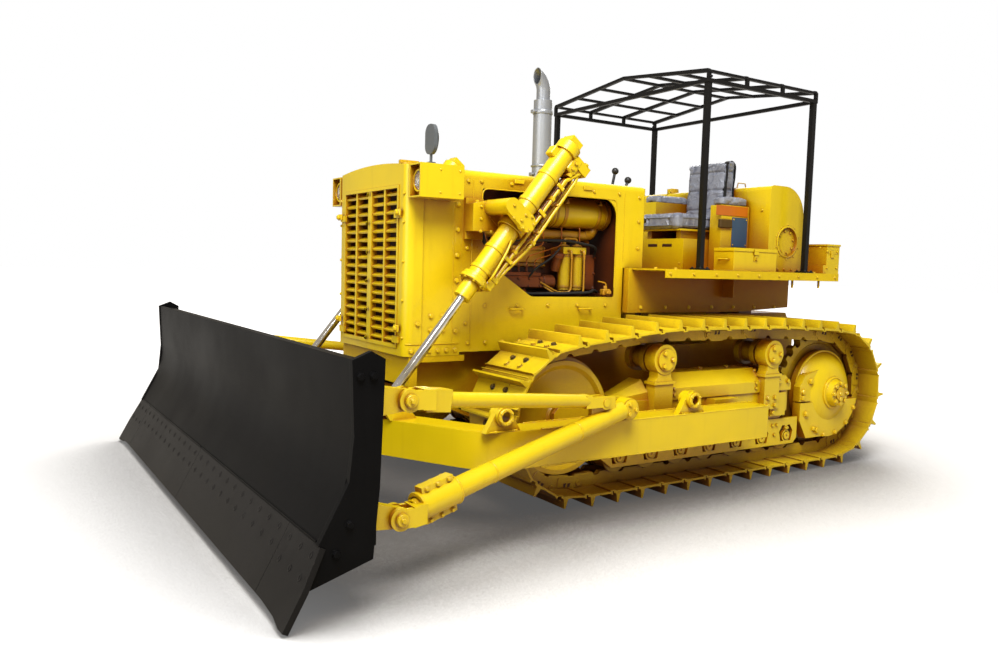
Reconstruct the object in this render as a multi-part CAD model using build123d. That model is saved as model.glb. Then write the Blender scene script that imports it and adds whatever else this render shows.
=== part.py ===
"""Crawler bulldozer with an angle blade on a C-frame, two lift cylinders and an open canopy.

Millimetres.  +X points forward to the blade, +Y to the machine's left, +Z up, and z = 0 is the
ground under the grouser tips.  The pieces are laid out from a datum line across the machine
between the track frames; node() moves each one so that the origin lies under the middle of the
whole machine.  Left-hand pieces are modelled, and right-hand ones are their mirror images.
"""
import math
import os
from build123d import *

# ---------------------------------------------------------------- tracks
PITCH = 216.0                # pin to pin along the chain
LINK_COUNT = 38              # shoes in one chain
GAUGE = 1880.0               # between the middles of the two chains
SHOE_WIDTH = 560.0
SHOE_TOP = 50.0              # outer face of a shoe plate, above the pin line
SHOE_PLATE = 14.0            # thickness of a shoe plate
GROUSER = 65.0               # height of the grouser above the plate
RAIL_DEPTH = 55.0            # running face of the links, below the pin line
RAIL_INNER = 55.0            # inner face of a link, from the middle of the chain
RAIL_OUTER = 95.0            # outer face of a link, from the middle of the chain
BUSHING_R = 32.0
SPROCKET_TEETH = 27          # two teeth to each pitch
SPROCKET_X = -1850.0
IDLER_TREAD_R = 376.0
IDLER_FLANGE = 24.0          # centre flange above the treads
POCKET_PLAY = 1.0            # round a bushing in its tooth pocket
TOOTH_TOP = 8.0              # sprocket teeth above the pin circle
FRONT_CARRIER = 790.0        # front carrier roller, behind the idler
REAR_CARRIER = 760.0         # rear carrier roller, ahead of the sprocket
IDLER_AXLE_R = 58.0
CARRIER_Z = 925.0
CARRIER_R = 105.0
CARRIER_AXLE_R = 40.0
CARRIER_PLAY = 8.0           # the links bridge the roller between two pins
FRONT_ROLLER = 445.0         # first track roller, behind the idler
REAR_ROLLER = 515.0          # last track roller, ahead of the sprocket
ROLLER_SPACING = 287.0       # about this far apart, as many as fit
ROLLER_R = 95.0
ROLLER_FLANGE = 14.0         # flange above the roller's tread
ROLLER_AXLE_R = 34.0
SEAT_GAP = 0.3               # between round faces that bear on each other

PIN_Z = SHOE_TOP + GROUSER   # pin line of the run on the ground
TRACK_Y = GAUGE / 2
TONGUE = 26.0                # lip of a shoe under the next one
SHOE_OUTER = TRACK_Y + SHOE_WIDTH / 2
SPROCKET_R = PITCH / 2 / math.sin(math.radians(360 / SPROCKET_TEETH))
IDLER_R = math.hypot(IDLER_TREAD_R + SEAT_GAP + RAIL_DEPTH, PITCH / 2)
SPROCKET_Z = PIN_Z + SPROCKET_R
IDLER_Z = PIN_Z + IDLER_R
ROLLER_Z = PIN_Z + RAIL_DEPTH + SEAT_GAP + ROLLER_R

# ---------------------------------------------------------------- track frame
BEAM_HALF = 150.0            # half width of the track frame's box beam
BEAM_LOW = ROLLER_Z + ROLLER_R + ROLLER_FLANGE + 35.7   # the beam clears the rollers
BEAM_HIGH = 640.0
BEAM_GAP = 30.0              # between the beam and the wheels at its ends
RECOIL_HALF = 165.0          # half width of the recoil spring's housing on the beam
RECOIL_TOP = 812.0
RECOIL_NOSE = 260.0          # length of its tapered front
GUARD_PLATE = 22.0
DRIVE_PANEL_TOP = 752.0      # frame panel between the rear post and the final drive
POST_HALF = 85.0             # half length of a carrier roller's post
CLAMP_R = 105.0              # round clamp on top of the post

# ---------------------------------------------------------------- C-frame
TRUNNION_X = -560.0
TRUNNION_Z = 500.0
TRUNNION_R = 55.0
PIN_PLAY = 0.05              # running clearance of a hinge pin, on the radius
ARM_GAP = 40.0               # between the shoes and the arms
ARM_WIDTH = 200.0
ARM_OUTER = SHOE_OUTER + ARM_GAP + ARM_WIDTH
ARM_END = 115.0              # arm behind its trunnion
PIN_COVER = 30.0             # plate of the arm left over the trunnion's end
ARM_HEIGHT = 220.0
ARM_LOW = 382.0
BOW_CORNER_X = 1640.0
BOW_NOSE_X = 2300.0
BOW_NOSE_Y = 240.0
BOW_CORNER_R = 380.0
BOW_NOSE_R = 420.0
BRACKETS_X = (1550.0, 700.0, 60.0)   # brace brackets on each arm
BRACKET_Z = 690.0
BRACKET_LUG = 45.0           # thickness of a bracket's lug
BRACE_PIN_R = 34.0
SADDLE_PIN = 106.0           # upper brace's pin above the lower brace's axis
LUG_HALF = 28.0              # half thickness of a lug on the blade's back
LUG_R = 50.0
FORK_R = 56.0                # bosses of the fork that straddles a lug
FORK_CHEEK = 26.0
FORK_PLAY = 2.0              # between a cheek and its lug
FORK_BACK = 66.0             # from the pin to the block behind the lug
COLLAR_RUN = (130.0, 360.0)  # slotted clamp, from the lower brace's front pin
BALL_R = 95.0                # ball at the nose of the C-frame
BALL_X = 2420.0

# ---------------------------------------------------------------- blade
BLADE_HALF = 2070.0
BLADE_TOP = 1126.0
BLADE_TOP_X = 2731.0
BLADE_BEND = (2713.0, 640.0)         # where the upright and the lower slope would cross
EDGE_JOINT = (2872.0, 342.5)         # top of the cutting edge
EDGE_TIP_Z = 45.0
EDGE_PLATE = 28.0
MOLD_PLATE = 22.0
MOLD_R = 600.0
MOLD_FOOT_Z = 165.0
BLADE_BACK_X = 2600.0
END_PLATE = 32.0
END_BIT = 380.0              # width of an end bit
BIT_DROP = 25.0              # tip of an end bit below the straight edge
BIT_REACH = 42.0             # tip of an end bit beyond the end plate
BACK_RIB_Y = (450.0, 1050.0, 1500.0)
UPPER_CLEVIS = (2375.0, 1850.0, 905.0)
LOWER_CLEVIS = (2400.0, 1830.0, 340.0)

# ---------------------------------------------------------------- lift cylinders
BARREL_PIVOT = (1085.0, 1818.0)      # x and z of the trunnions
CYLINDER_Y = 790.0
ROD_EYE = (1970.0, 712.0)            # x and z of the rod's eye
BARREL_R = 69.0
BARREL_WALL = 12.0
BARREL_UP = 640.0            # tube above the trunnions
BARREL_DOWN = 500.0          # tube below the trunnions
GLAND_LENGTH = 120.0
PISTON_FACE = 160.0          # lower face of the piston below the trunnions
PISTON_LENGTH = 60.0
PIPE_R = 14.0
ROD_R = 30.0
EYE_R = 58.0
EYE_WIDTH = 60.0
COLLAR_R = 90.0
COLLAR_HALF = 58.0
TRUNNION_PIN_R = 32.0
TRUNNION_PIN_REACH = 150.0   # end of a trunnion pin, from the barrel's axis
YOKE_ARM = 40.0
YOKE_BOSS_R = 62.0

# ---------------------------------------------------------------- body
GUARD_FRONT = 1750.0         # radiator guard
GUARD_REAR = 1340.0
GUARD_HALF = 560.0
GUARD_CASTING = 120.0        # depth of its front casting
GUARD_FOOT = 940.0
RAIL_TOP = GUARD_FOOT        # the guard stands on the hull's rails
GUARD_SIDE_TOP = 2160.0
GUARD_CROWN = 2195.0
GUARD_CORNER = 60.0
GUARD_WALL = 14.0
GRILLE_HALF = 450.0
GRILLE_FOOT = 985.0
GRILLE_TOP = 2040.0
GRILLE_ROWS = 17
GRILLE_DIVIDER = 60.0        # upright in the middle of the grille
GRILLE_UPRIGHT = 22.0
GRILLE_PLAY = 1.0            # between the grille and its opening
SLAT_DEPTH = 34.0
SLAT_PLATE = 14.0
SLAT_TILT = 35.0
LAMP_BOX_X = (1430.0, 1742.0)
LAMP_BOX_Z = (1950.0, 2160.0)
LAMP_BOX_WIDTH = 160.0
LAMP_RECESS = 90.0
LAMP_R = 42.0
MIRROR_X = 1655.0
MIRROR_Y = 690.0
MIRROR_Z = (2215.0, 2400.0)
MIRROR_HALF = 62.0
HOOD_REAR = -250.0
HOOD_HALF = 552.0
HOOD_TOP = 2165.0
HOOD_SHEET = 8.0
HOOD_ROUND = 45.0
HOOD_FOOT = 960.0
WINDOW_FRONT = 1190.0        # opening beside the engine
WINDOW_REAR = 20.0
WINDOW_TOP = 2050.0
WINDOW_SILL = 1330.0
ENGINE_X = (60.0, 1180.0)
ENGINE_HALF = 300.0
ENGINE_TOP = 1720.0
HEAD_HALF = 130.0
HEAD_TOP = 1830.0
FILTERS_X = (262.0, 378.0)
FILTER_R = 47.0
FILTER_Z = (1375.0, 1645.0)
CLEANER_X = (-20.0, 520.0)
CLEANER_Y = 330.0
CLEANER_Z = 1945.0
CLEANER_R = 115.0
EXHAUST_X = 400.0
EXHAUST_Y = 100.0
EXHAUST_R = 70.0
EXHAUST_NECK_R = 52.0
EXHAUST_NECK_Z = 2790.0
EXHAUST_BEND_Z = 2862.0
EXHAUST_BEND_R = 125.0
DECK_TOP = 1550.0            # floor and fenders
FENDER_EDGE = 975.0
FENDER_INNER = 600.0
FENDER_REAR = -2070.0
FENDER_FRONT = -100.0
FENDER_PLATE = 12.0
FENDER_LIP = 63.0
WALL_FOOT = 1215.0           # lower edge of the wall below the fender
TANK_X = (-1800.0, -1380.0)
TANK_HALF = 800.0
TANK_TOP = 2250.0
TANK_ROUND = 240.0
TANK_PRESSING_R = 120.0
HULL_HALF = 420.0
HULL_FLOOR = 480.0
CASE_TOP = 1190.0            # transmission case under the seat
TOOLBOX_X = (-1365.0, -870.0)
TOOLBOX_Y = (700.0, 900.0)
TOOLBOX_TOP = 1730.0
BOX_SHEET = 5.0
LID_SHEET = 3.0
LID_SKIRT = 22.0
HINGE_R = 7.0
HINGE_PIN_R = 3.0
KNUCKLE = 60.0
LID_PLAY = 5.0
LID_SIDE_PLAY = 2.0
BATTERY_BOX = (170.0, 640.0, 850.0, 1800.0)   # length, inner side, outer side and top
POST_X = (-1690.0, -490.0)   # canopy posts
POST_Y = 918.0
POST_TUBE = 40.0
POST_FOOT = 52.0             # half width of a post's foot plate
ROOF_X = (-1713.0, -465.0)
ROOF_HALF = 943.0
ROOF_LOW = 2928.0
EAVE_Z = 3012.0
RIDGE_Z = 3110.0
ROOF_BAR = 28.0
ROOF_RIBS = 4
ROOF_PURLINS = 3             # bars on each side of the ridge
DRAWBAR_END = -2480.0
DRAWBAR_Z = 470.0
DRAWBAR_PIN_R = 26.0
SEAT_Y = 200.0
SEAT_HALF = 260.0
SEAT_X = (-1300.0, -760.0)
SEAT_PAN_Z = 1880.0
CUSHION_X = (-1250.0, -690.0)
CUSHION_TOP = 2000.0
BACK_TOP = 2500.0
ARMREST_GAP = 20.0           # between the seat and an armrest console
LEVER_BOX_X = (-560.0, -440.0)
LEVER_BOX_Y = (-330.0, -90.0)
LEVER_BOX_TOP = 1760.0

EDGE_SLOPE = math.atan2(EDGE_JOINT[0] - BLADE_BEND[0], BLADE_BEND[1] - EDGE_JOINT[1])
EDGE_TIP_X = EDGE_JOINT[0] + (EDGE_JOINT[1] - EDGE_TIP_Z) * math.tan(EDGE_SLOPE)
BIT_TIP_X = EDGE_TIP_X + BIT_DROP * math.tan(EDGE_SLOPE)
X_MIDDLE = (BIT_TIP_X + DRAWBAR_END) / 2

os.makedirs("parts", exist_ok=True)


# ---------------------------------------------------------------- helpers
def box(x_low, x_high, y_low, y_high, z_low, z_high):
    """A block between two corners."""
    middle = Pos((x_low + x_high) / 2, (y_low + y_high) / 2, (z_low + z_high) / 2)
    return middle * Box(x_high - x_low, y_high - y_low, z_high - z_low)


def side_plate(outline, y_low, y_high, radius=0):
    """A side outline of (x, z) corners, carried across from y_low to y_high."""
    corners = [(x, y_low, z) for x, z in outline]
    line = FilletPolyline(*corners, radius=radius, close=True) if radius else Polyline(*corners, close=True)
    return extrude(make_face(line), amount=y_high - y_low, dir=(0, 1, 0))


def plan_plate(outline, z_low, z_high, radius=0):
    """A plan outline of (x, y) corners, carried up from z_low to z_high."""
    corners = [(x, y, z_low) for x, y in outline]
    line = FilletPolyline(*corners, radius=radius, close=True) if radius else Polyline(*corners, close=True)
    return extrude(make_face(line), amount=z_high - z_low, dir=(0, 0, 1))


def front_plate(outline, x_low, x_high, radius=0):
    """A front outline of (y, z) corners, carried forward from x_low to x_high."""
    corners = [(x_low, y, z) for y, z in outline]
    line = FilletPolyline(*corners, radius=radius, close=True) if radius else Polyline(*corners, close=True)
    return extrude(make_face(line), amount=x_high - x_low, dir=(1, 0, 0))


def bar(start, end, radius):
    """A round bar from point to point."""
    run = Vector(*end) - Vector(*start)
    round_bar = Cylinder(radius, run.length, align=(Align.CENTER, Align.CENTER, Align.MIN))
    return Plane(origin=start, z_dir=run) * round_bar


def square_bar(start, end, width, height):
    """A square bar from point to point: width lies level, height stands up."""
    run = Vector(*end) - Vector(*start)
    level = run.cross(Vector(0, 0, 1))
    if level.length < 1e-6:
        level = Vector(0, 1, 0)
    block = Box(width, height, run.length, align=(Align.CENTER, Align.CENTER, Align.MIN))
    return Plane(origin=start, x_dir=level, z_dir=run) * block


def cross_pin(x, z, y_low, y_high, radius):
    """A round pin that lies across the machine."""
    return bar((x, y_low, z), (x, y_high, z), radius)


def turned(x, z, profile):
    """A body turned about an axis across the machine, from a profile of (y, radius) corners."""
    corners = [(x, y, z + radius) for y, radius in profile]
    face = make_face(Polyline(*corners, close=True))
    return revolve(face, axis=Axis((x, 0, z), (0, 1, 0)))


def mirrored(piece):
    """The same piece on the machine's right."""
    return mirror(piece, about=Plane.XZ)


def both(piece):
    """The left piece and its mirror image, as solids that don't touch."""
    return Compound(children=[*piece.solids(), *mirrored(piece).solids()])


def node(name, piece):
    """Write one named piece, moved so that the origin is under the machine's middle."""
    solids = [Pos(-X_MIDDLE, 0, 0) * solid for solid in piece.solids()]
    whole = solids[0] if len(solids) == 1 else Compound(children=solids)
    export_step(whole, f"parts/{name}.step")
    print(f"{name}: {len(solids)} solid(s)")


# ---------------------------------------------------------------- the chain's path
HALVINGS = 48                # halvings that place a pin, enough to reach rounding


def belt(idler_x):
    """Runs and wraps of the pin line round the wheels, as (kind, values, length) in order.

    The wheels are taken anticlockwise as seen from the machine's right: sprocket, idler, and
    the carrier rollers from front to rear.
    """
    wheels = [(SPROCKET_X, SPROCKET_Z, SPROCKET_R), (idler_x, IDLER_Z, IDLER_R)]
    carriers = (idler_x - FRONT_CARRIER, SPROCKET_X + REAR_CARRIER)
    wheels += [(x, CARRIER_Z, CARRIER_R + RAIL_DEPTH + CARRIER_PLAY) for x in carriers]
    headings = []
    for here, there in zip(wheels, wheels[1:] + wheels[:1]):
        gap = math.hypot(there[0] - here[0], there[1] - here[1])
        bearing = math.atan2(there[1] - here[1], there[0] - here[0])
        headings.append(bearing + math.asin((here[2] - there[2]) / gap))
    path = []
    for i, here in enumerate(wheels):
        j = (i + 1) % len(wheels)
        there = wheels[j]
        turn = headings[i]
        start = (here[0] + here[2] * math.sin(turn), here[1] - here[2] * math.cos(turn))
        end = (there[0] + there[2] * math.sin(turn), there[1] - there[2] * math.cos(turn))
        path.append(("run", (start, end), math.dist(start, end)))
        sweep = (headings[j] - turn) % (2 * math.pi)
        path.append(("wrap", (there, turn - math.pi / 2, sweep), there[2] * sweep))
    return path


def on_belt(path, distance):
    """The point of the pin line at a distance along it."""
    distance %= sum(length for _, _, length in path)
    for kind, values, length in path:
        if distance <= length:
            break
        distance -= length
    share = distance / length
    if kind == "run":
        start, end = values
        return tuple(a + (b - a) * share for a, b in zip(start, end))
    (x, z, radius), angle, sweep = values
    return (x + radius * math.cos(angle + sweep * share), z + radius * math.sin(angle + sweep * share))


def walk(path):
    """Pins set one pitch apart along the pin line, and the distance that the last link reaches."""
    distance = 0.0
    pins = [on_belt(path, distance)]
    for _ in range(LINK_COUNT):
        low, high = distance + PITCH * 0.9, distance + PITCH * 1.1
        for _ in range(HALVINGS):
            middle = (low + high) / 2
            if math.dist(pins[-1], on_belt(path, middle)) < PITCH:
                low = middle
            else:
                high = middle
        distance = high
        pins.append(on_belt(path, distance))
    return pins[:-1], distance


def closed_chain():
    """The idler's place at which the chain closes, and the pins of the closed chain."""
    low, high = SPROCKET_X + FRONT_CARRIER + REAR_CARRIER, SPROCKET_X + LINK_COUNT * PITCH / 2
    for _ in range(HALVINGS):
        middle = (low + high) / 2
        path = belt(middle)
        pins, reach = walk(path)
        if reach > sum(length for _, _, length in path):
            low = middle
        else:
            high = middle
    return high, pins


IDLER_X, PINS = closed_chain()
CARRIERS_X = (IDLER_X - FRONT_CARRIER, SPROCKET_X + REAR_CARRIER)
print(f"idler at x {IDLER_X:.1f}, pin line {PIN_Z:.0f} above the ground")


def on_link(index, along, out):
    """A point of a link: along from its first pin, out from the pin line."""
    start, end = PINS[index], PINS[(index + 1) % LINK_COUNT]
    length = math.dist(start, end)
    ux, uz = (end[0] - start[0]) / length, (end[1] - start[1]) / length
    return (start[0] + ux * along + uz * out, start[1] + uz * along - ux * out)


# ---------------------------------------------------------------- track chain
# One shoe's side outline: (along the link, out from the pin line).
SHOE_INNER = SHOE_TOP - SHOE_PLATE
SHOE_OUTLINE = [
    (5, SHOE_INNER), (PITCH - 22, SHOE_INNER), (PITCH - 14, SHOE_INNER - 9), (PITCH + TONGUE, SHOE_INNER - 9),
    (PITCH + TONGUE, SHOE_INNER - 1), (PITCH - 5, SHOE_INNER - 1), (PITCH - 5, SHOE_TOP - 3),
    (PITCH - 26, SHOE_TOP + 4), (PITCH - 33, SHOE_TOP + GROUSER), (PITCH - 47, SHOE_TOP + GROUSER),
    (PITCH - 62, SHOE_TOP + 4), (PITCH - 84, SHOE_TOP), (24, SHOE_TOP), (5, SHOE_TOP + 12),
]
# Inner edge of a link: the rail's running face, and the waist at each pin.
LINK_INNER = [(14, RAIL_DEPTH - 22), (34, RAIL_DEPTH), (PITCH - 34, RAIL_DEPTH),
              (PITCH - 14, RAIL_DEPTH - 22)]


def track():
    """One closed chain: two link rails, bushings between them and a shoe on every link."""
    outer = [on_link(i, along, SHOE_INNER) for i in range(LINK_COUNT) for along in (5, PITCH - 5)]
    inner = [on_link(i, along, -depth) for i in range(LINK_COUNT) for along, depth in LINK_INNER]
    rails = []
    for low, high in ((RAIL_INNER, RAIL_OUTER), (-RAIL_OUTER, -RAIL_INNER)):
        y_low, y_high = TRACK_Y + low, TRACK_Y + high
        rails.append(side_plate(outer, y_low, y_high) - side_plate(inner, y_low - 1, y_high + 1))
    shoes = []
    for i in range(LINK_COUNT):
        outline = [on_link(i, along, out) for along, out in SHOE_OUTLINE]
        shoes.append(side_plate(outline, TRACK_Y - SHOE_WIDTH / 2, SHOE_OUTER))
    low, high = TRACK_Y - RAIL_INNER - 5, TRACK_Y + RAIL_INNER + 5
    bushings = [cross_pin(x, z, low, high, BUSHING_R) for x, z in PINS]
    return rails[0] + [rails[1], *shoes, *bushings]


chain = track()
node("track_left", chain)
node("track_right", mirrored(chain))


def sprocket():
    """Toothed rim with a pocket at every half pitch, on a dished web."""
    y = TRACK_Y
    hub_r, rim_r, tooth_r = 190.0, SPROCKET_R - 84, SPROCKET_R + TOOTH_TOP
    web = turned(SPROCKET_X, SPROCKET_Z, [
        (y - 20, hub_r), (y + 20, hub_r), (y + 20, rim_r), (y + 32, rim_r + 12), (y + 32, tooth_r),
        (y - 32, tooth_r), (y - 32, rim_r + 12), (y - 20, rim_r),
    ])
    for tooth in range(SPROCKET_TEETH):
        angle = math.radians(-90 + tooth * 360 / SPROCKET_TEETH)
        for radius, reach in ((BUSHING_R + POCKET_PLAY, SPROCKET_R), (BUSHING_R + 8, SPROCKET_R + 22)):
            x = SPROCKET_X + reach * math.cos(angle)
            z = SPROCKET_Z + reach * math.sin(angle)
            web -= cross_pin(x, z, y - 40, y + 40, radius)
    return web


node("sprockets", both(sprocket()))


def idler():
    """Front wheel: two treads, the centre flange, a dished outer disc and its hub."""
    y = TRACK_Y
    flange = IDLER_TREAD_R + IDLER_FLANGE
    wheel = turned(IDLER_X, IDLER_Z, [
        (y - 92, IDLER_TREAD_R), (y - 45, IDLER_TREAD_R), (y - 45, flange), (y + 45, flange),
        (y + 45, IDLER_TREAD_R), (y + 92, IDLER_TREAD_R), (y + 92, IDLER_TREAD_R - 30), (y + 72, 320),
        (y + 72, 120), (y + 88, 104), (y + 88, IDLER_AXLE_R), (y - 88, IDLER_AXLE_R), (y - 88, 104),
        (y - 72, 120), (y - 72, 320), (y - 92, IDLER_TREAD_R - 30),
    ])
    filler = cross_pin(IDLER_X - 150, IDLER_Z + 60, y + 50, y + 100, 22)
    return wheel - filler


node("idlers", both(idler()))

ROLLER_ENDS = (SPROCKET_X + REAR_ROLLER, IDLER_X - FRONT_ROLLER)
ROLLER_GAPS = round((ROLLER_ENDS[1] - ROLLER_ENDS[0]) / ROLLER_SPACING)
ROLLER_STEP = (ROLLER_ENDS[1] - ROLLER_ENDS[0]) / ROLLER_GAPS
ROLLERS_X = [ROLLER_ENDS[0] + ROLLER_STEP * i for i in range(ROLLER_GAPS + 1)]


def track_roller(x):
    """Flanged roller on its shaft."""
    y, rim = TRACK_Y, ROLLER_R + ROLLER_FLANGE
    return turned(x, ROLLER_Z, [
        (y - 160, 0), (y - 160, ROLLER_AXLE_R), (y - 118, ROLLER_AXLE_R), (y - 118, rim), (y - 98, rim),
        (y - 98, ROLLER_R), (y + 98, ROLLER_R), (y + 98, rim), (y + 118, rim), (y + 118, ROLLER_AXLE_R),
        (y + 160, ROLLER_AXLE_R), (y + 160, 0),
    ])


rollers = Compound(children=[track_roller(x).solid() for x in ROLLERS_X])
node("track_rollers", both(rollers))


def carrier_roller(x):
    """Upper roller, carried at its outer end by the clamp on its post."""
    y = TRACK_Y
    return turned(x, CARRIER_Z, [
        (y - 98, 0), (y - 98, CARRIER_R), (y - 50, CARRIER_R), (y - 50, 80), (y + 50, 80),
        (y + 50, CARRIER_R), (y + 95, CARRIER_R), (y + 95, 62), (y + 108, 62), (y + 108, CARRIER_AXLE_R),
        (y + 150, CARRIER_AXLE_R), (y + 150, 0),
    ])


carriers = Compound(children=[carrier_roller(x).solid() for x in CARRIERS_X])
node("carrier_rollers", both(carriers))


# ---------------------------------------------------------------- track frame
def roller_guard(y_low, y_high):
    """Guard plate along the rollers, with a shield-shaped opening round each roller's end."""
    rear, front, z = ROLLERS_X[0] - 130, ROLLERS_X[-1] + 130, ROLLER_Z
    plate = side_plate([
        (rear, BEAM_LOW), (rear, z - 25), (rear + 40, z - 65), (front - 60, z - 65), (front + 60, z + 25),
        (front + 60, BEAM_LOW),
    ], y_low, y_high)
    for x in ROLLERS_X:
        shield = [(x - 60, z - 40), (x + 60, z - 40), (x + 80, z + 35), (x + 45, z + 85), (x - 45, z + 85),
                  (x - 80, z + 35)]
        plate -= side_plate(shield, y_low - 1, y_high + 1)
        plate += cross_pin(x, z, y_low, y_high, ROLLER_AXLE_R + 12)
        plate += box(x - 16, x + 16, y_low, y_high, z - 43, z + 87)
        plate -= cross_pin(x, z, y_low - 1, y_high + 1, ROLLER_AXLE_R + SEAT_GAP)
    return plate


def carrier_post(x):
    """Post from the beam to the round clamp that holds an upper roller's shaft."""
    y = TRACK_Y
    clamp_low, clamp_high = y + 112, y + 212
    shoulder = CARRIER_Z - 125
    post = side_plate([
        (x - POST_HALF, BEAM_HIGH), (x + POST_HALF, BEAM_HIGH), (x + POST_HALF, shoulder - 30),
        (x + 62, shoulder),
        (x + 58, CARRIER_Z), (x - 58, CARRIER_Z), (x - 62, shoulder), (x - POST_HALF, shoulder - 30),
    ], clamp_low + 6, clamp_high - 6)
    foot = box(x - POST_HALF - 12, x + POST_HALF + 12, clamp_low - 4, clamp_high + 4, shoulder - 48,
               shoulder - 28)
    side = box(x - POST_HALF, x + POST_HALF, y + BEAM_HALF, clamp_high - 6, BEAM_LOW + 90, BEAM_HIGH)
    clamp = cross_pin(x, CARRIER_Z, clamp_low, clamp_high, CLAMP_R)
    dome = cross_pin(x, CARRIER_Z, clamp_high, clamp_high + 14, CLAMP_R - 30)
    socket = cross_pin(x, CARRIER_Z, clamp_low - 1, y + 150 + SEAT_GAP, CARRIER_AXLE_R + SEAT_GAP)
    return post + [foot, side, clamp, dome] - socket


def recoil_section(x, half, top):
    """Faceted front outline of the recoil spring's housing."""
    y, low = TRACK_Y, BEAM_HIGH - 10
    shoulder = low + (top - low) * 0.45
    return make_face(Polyline(
        (x, y - half, low), (x, y - half, shoulder), (x, y - half / 2, top), (x, y + half / 2, top),
        (x, y + half, shoulder), (x, y + half, low), close=True))


def track_frame():
    """Box beam that carries the rollers, the recoil housing, the idler and the blade's trunnion."""
    y = TRACK_Y
    front = IDLER_X - IDLER_TREAD_R - IDLER_FLANGE - BEAM_GAP
    rear = SPROCKET_X + SPROCKET_R + TOOTH_TOP + BEAM_GAP
    beam = side_plate([
        (rear, BEAM_LOW + 60), (rear + 90, BEAM_LOW), (front - 60, BEAM_LOW),
        (front, BEAM_LOW + 50), (front, BEAM_HIGH - 20), (front - 160, BEAM_HIGH),
        (rear, BEAM_HIGH),
    ], y - BEAM_HALF, y + BEAM_HALF)
    recoil_x = (CARRIERS_X[1] + POST_HALF, CARRIERS_X[0] - POST_HALF)
    recoil = extrude(recoil_section(recoil_x[0], RECOIL_HALF, RECOIL_TOP), amount=recoil_x[1] - recoil_x[0],
                     dir=(1, 0, 0))
    nose = loft([recoil_section(recoil_x[1] + 2 * POST_HALF, RECOIL_HALF * 0.8, RECOIL_TOP - 40),
                 recoil_section(recoil_x[1] + 2 * POST_HALF + RECOIL_NOSE, RECOIL_HALF / 2, BEAM_HIGH + 30)])
    panel = side_plate([
        (rear, BEAM_HIGH - 5), (CARRIERS_X[1] - POST_HALF + 5, BEAM_HIGH - 5),
        (CARRIERS_X[1] - POST_HALF + 5, DRIVE_PANEL_TOP), (rear + 70, DRIVE_PANEL_TOP),
        (rear, DRIVE_PANEL_TOP - 60),
    ], y + 70, y + BEAM_HALF + 30)
    hatch = box(rear + 70, rear + 240, y + BEAM_HALF - 1, y + BEAM_HALF + 42, BEAM_LOW + 30, BEAM_HIGH - 20)
    frame = beam + [recoil, nose, panel, hatch]
    for x in CARRIERS_X:
        frame += carrier_post(x)
    for side in (1, -1):
        low, high = sorted((y + side * 142, y + side * (142 + GUARD_PLATE)))
        frame += roller_guard(low, high)
        arm_low, arm_high = sorted((y + side * 98, y + side * (98 + 34)))
        frame += side_plate([
            (front - 90, BEAM_LOW + 10), (IDLER_X + 60, IDLER_Z - 75), (IDLER_X + 95, IDLER_Z - 40),
            (IDLER_X + 95, IDLER_Z + 40), (IDLER_X + 60, IDLER_Z + 75), (front - 90, BEAM_HIGH - 10),
        ], arm_low, arm_high)
    frame += cross_pin(IDLER_X, IDLER_Z, y - 132, y + 132, IDLER_AXLE_R - SEAT_GAP)
    block_high = SHOE_OUTER - 40
    frame += side_plate([
        (TRUNNION_X - 150, BEAM_LOW + 20), (TRUNNION_X + 150, BEAM_LOW + 20),
        (TRUNNION_X + 120, BEAM_HIGH - 20),
        (TRUNNION_X - 120, BEAM_HIGH - 20),
    ], y + BEAM_HALF, block_high)
    frame += cross_pin(TRUNNION_X, TRUNNION_Z, block_high - 10, ARM_OUTER - PIN_COVER - 1, TRUNNION_R)
    return frame


left_frame = track_frame()
node("track_frame_left", left_frame)
node("track_frame_right", mirrored(left_frame))


def final_drive():
    """Domed reduction case outside the sprocket, its cap, its front pad and the guard round its foot."""
    y, x, z = TRACK_Y, SPROCKET_X, SPROCKET_Z
    rim = SPROCKET_R - RAIL_DEPTH - 80
    hub = [(y - 180, 0), (y - 180, 210), (y - 34, 210), (y - 34, 189), (y + 34, 189), (y + 34, rim),
           (y + 84, rim)]
    cap = [(y + 205, 128), (y + 222, 112), (y + 268, 100), (y + 268, 0)]

    def at(point):
        return (x, point[0], z + point[1])

    lines = Polyline(*[at(p) for p in hub]), Polyline(*[at(p) for p in cap]), Line(at(cap[-1]), at(hub[0]))
    dome = ThreePointArc(at(hub[-1]), at((y + 160, 255)), at(cap[0]))
    face = make_face([edge for line in lines for edge in line.edges()] + [dome])
    case = revolve(face, axis=Axis((x, 0, z), (0, 1, 0)))
    front_x = x + SPROCKET_R - RAIL_DEPTH - 41
    pad = side_plate([
        (x + 150, z - 60), (front_x, z - 60), (front_x, z + 60), (front_x - 60, z + 150), (x + 150, z + 190),
    ], y + 105, y + 168)
    guard = cross_pin(x, z, y + 105, y + 176, rim + 32)
    guard -= box(x - rim - 40, x + rim + 40, y + 100, y + 180, z - 70, z + rim + 40)
    apron = side_plate([
        (x, z - 70), (x, z - rim - 25), (front_x - 90, z - rim - 25), (front_x, z - 210), (front_x, z - 70),
    ], y + 105, y + 176)
    return case + [pad, guard, apron]


node("final_drives", both(final_drive()))


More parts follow.
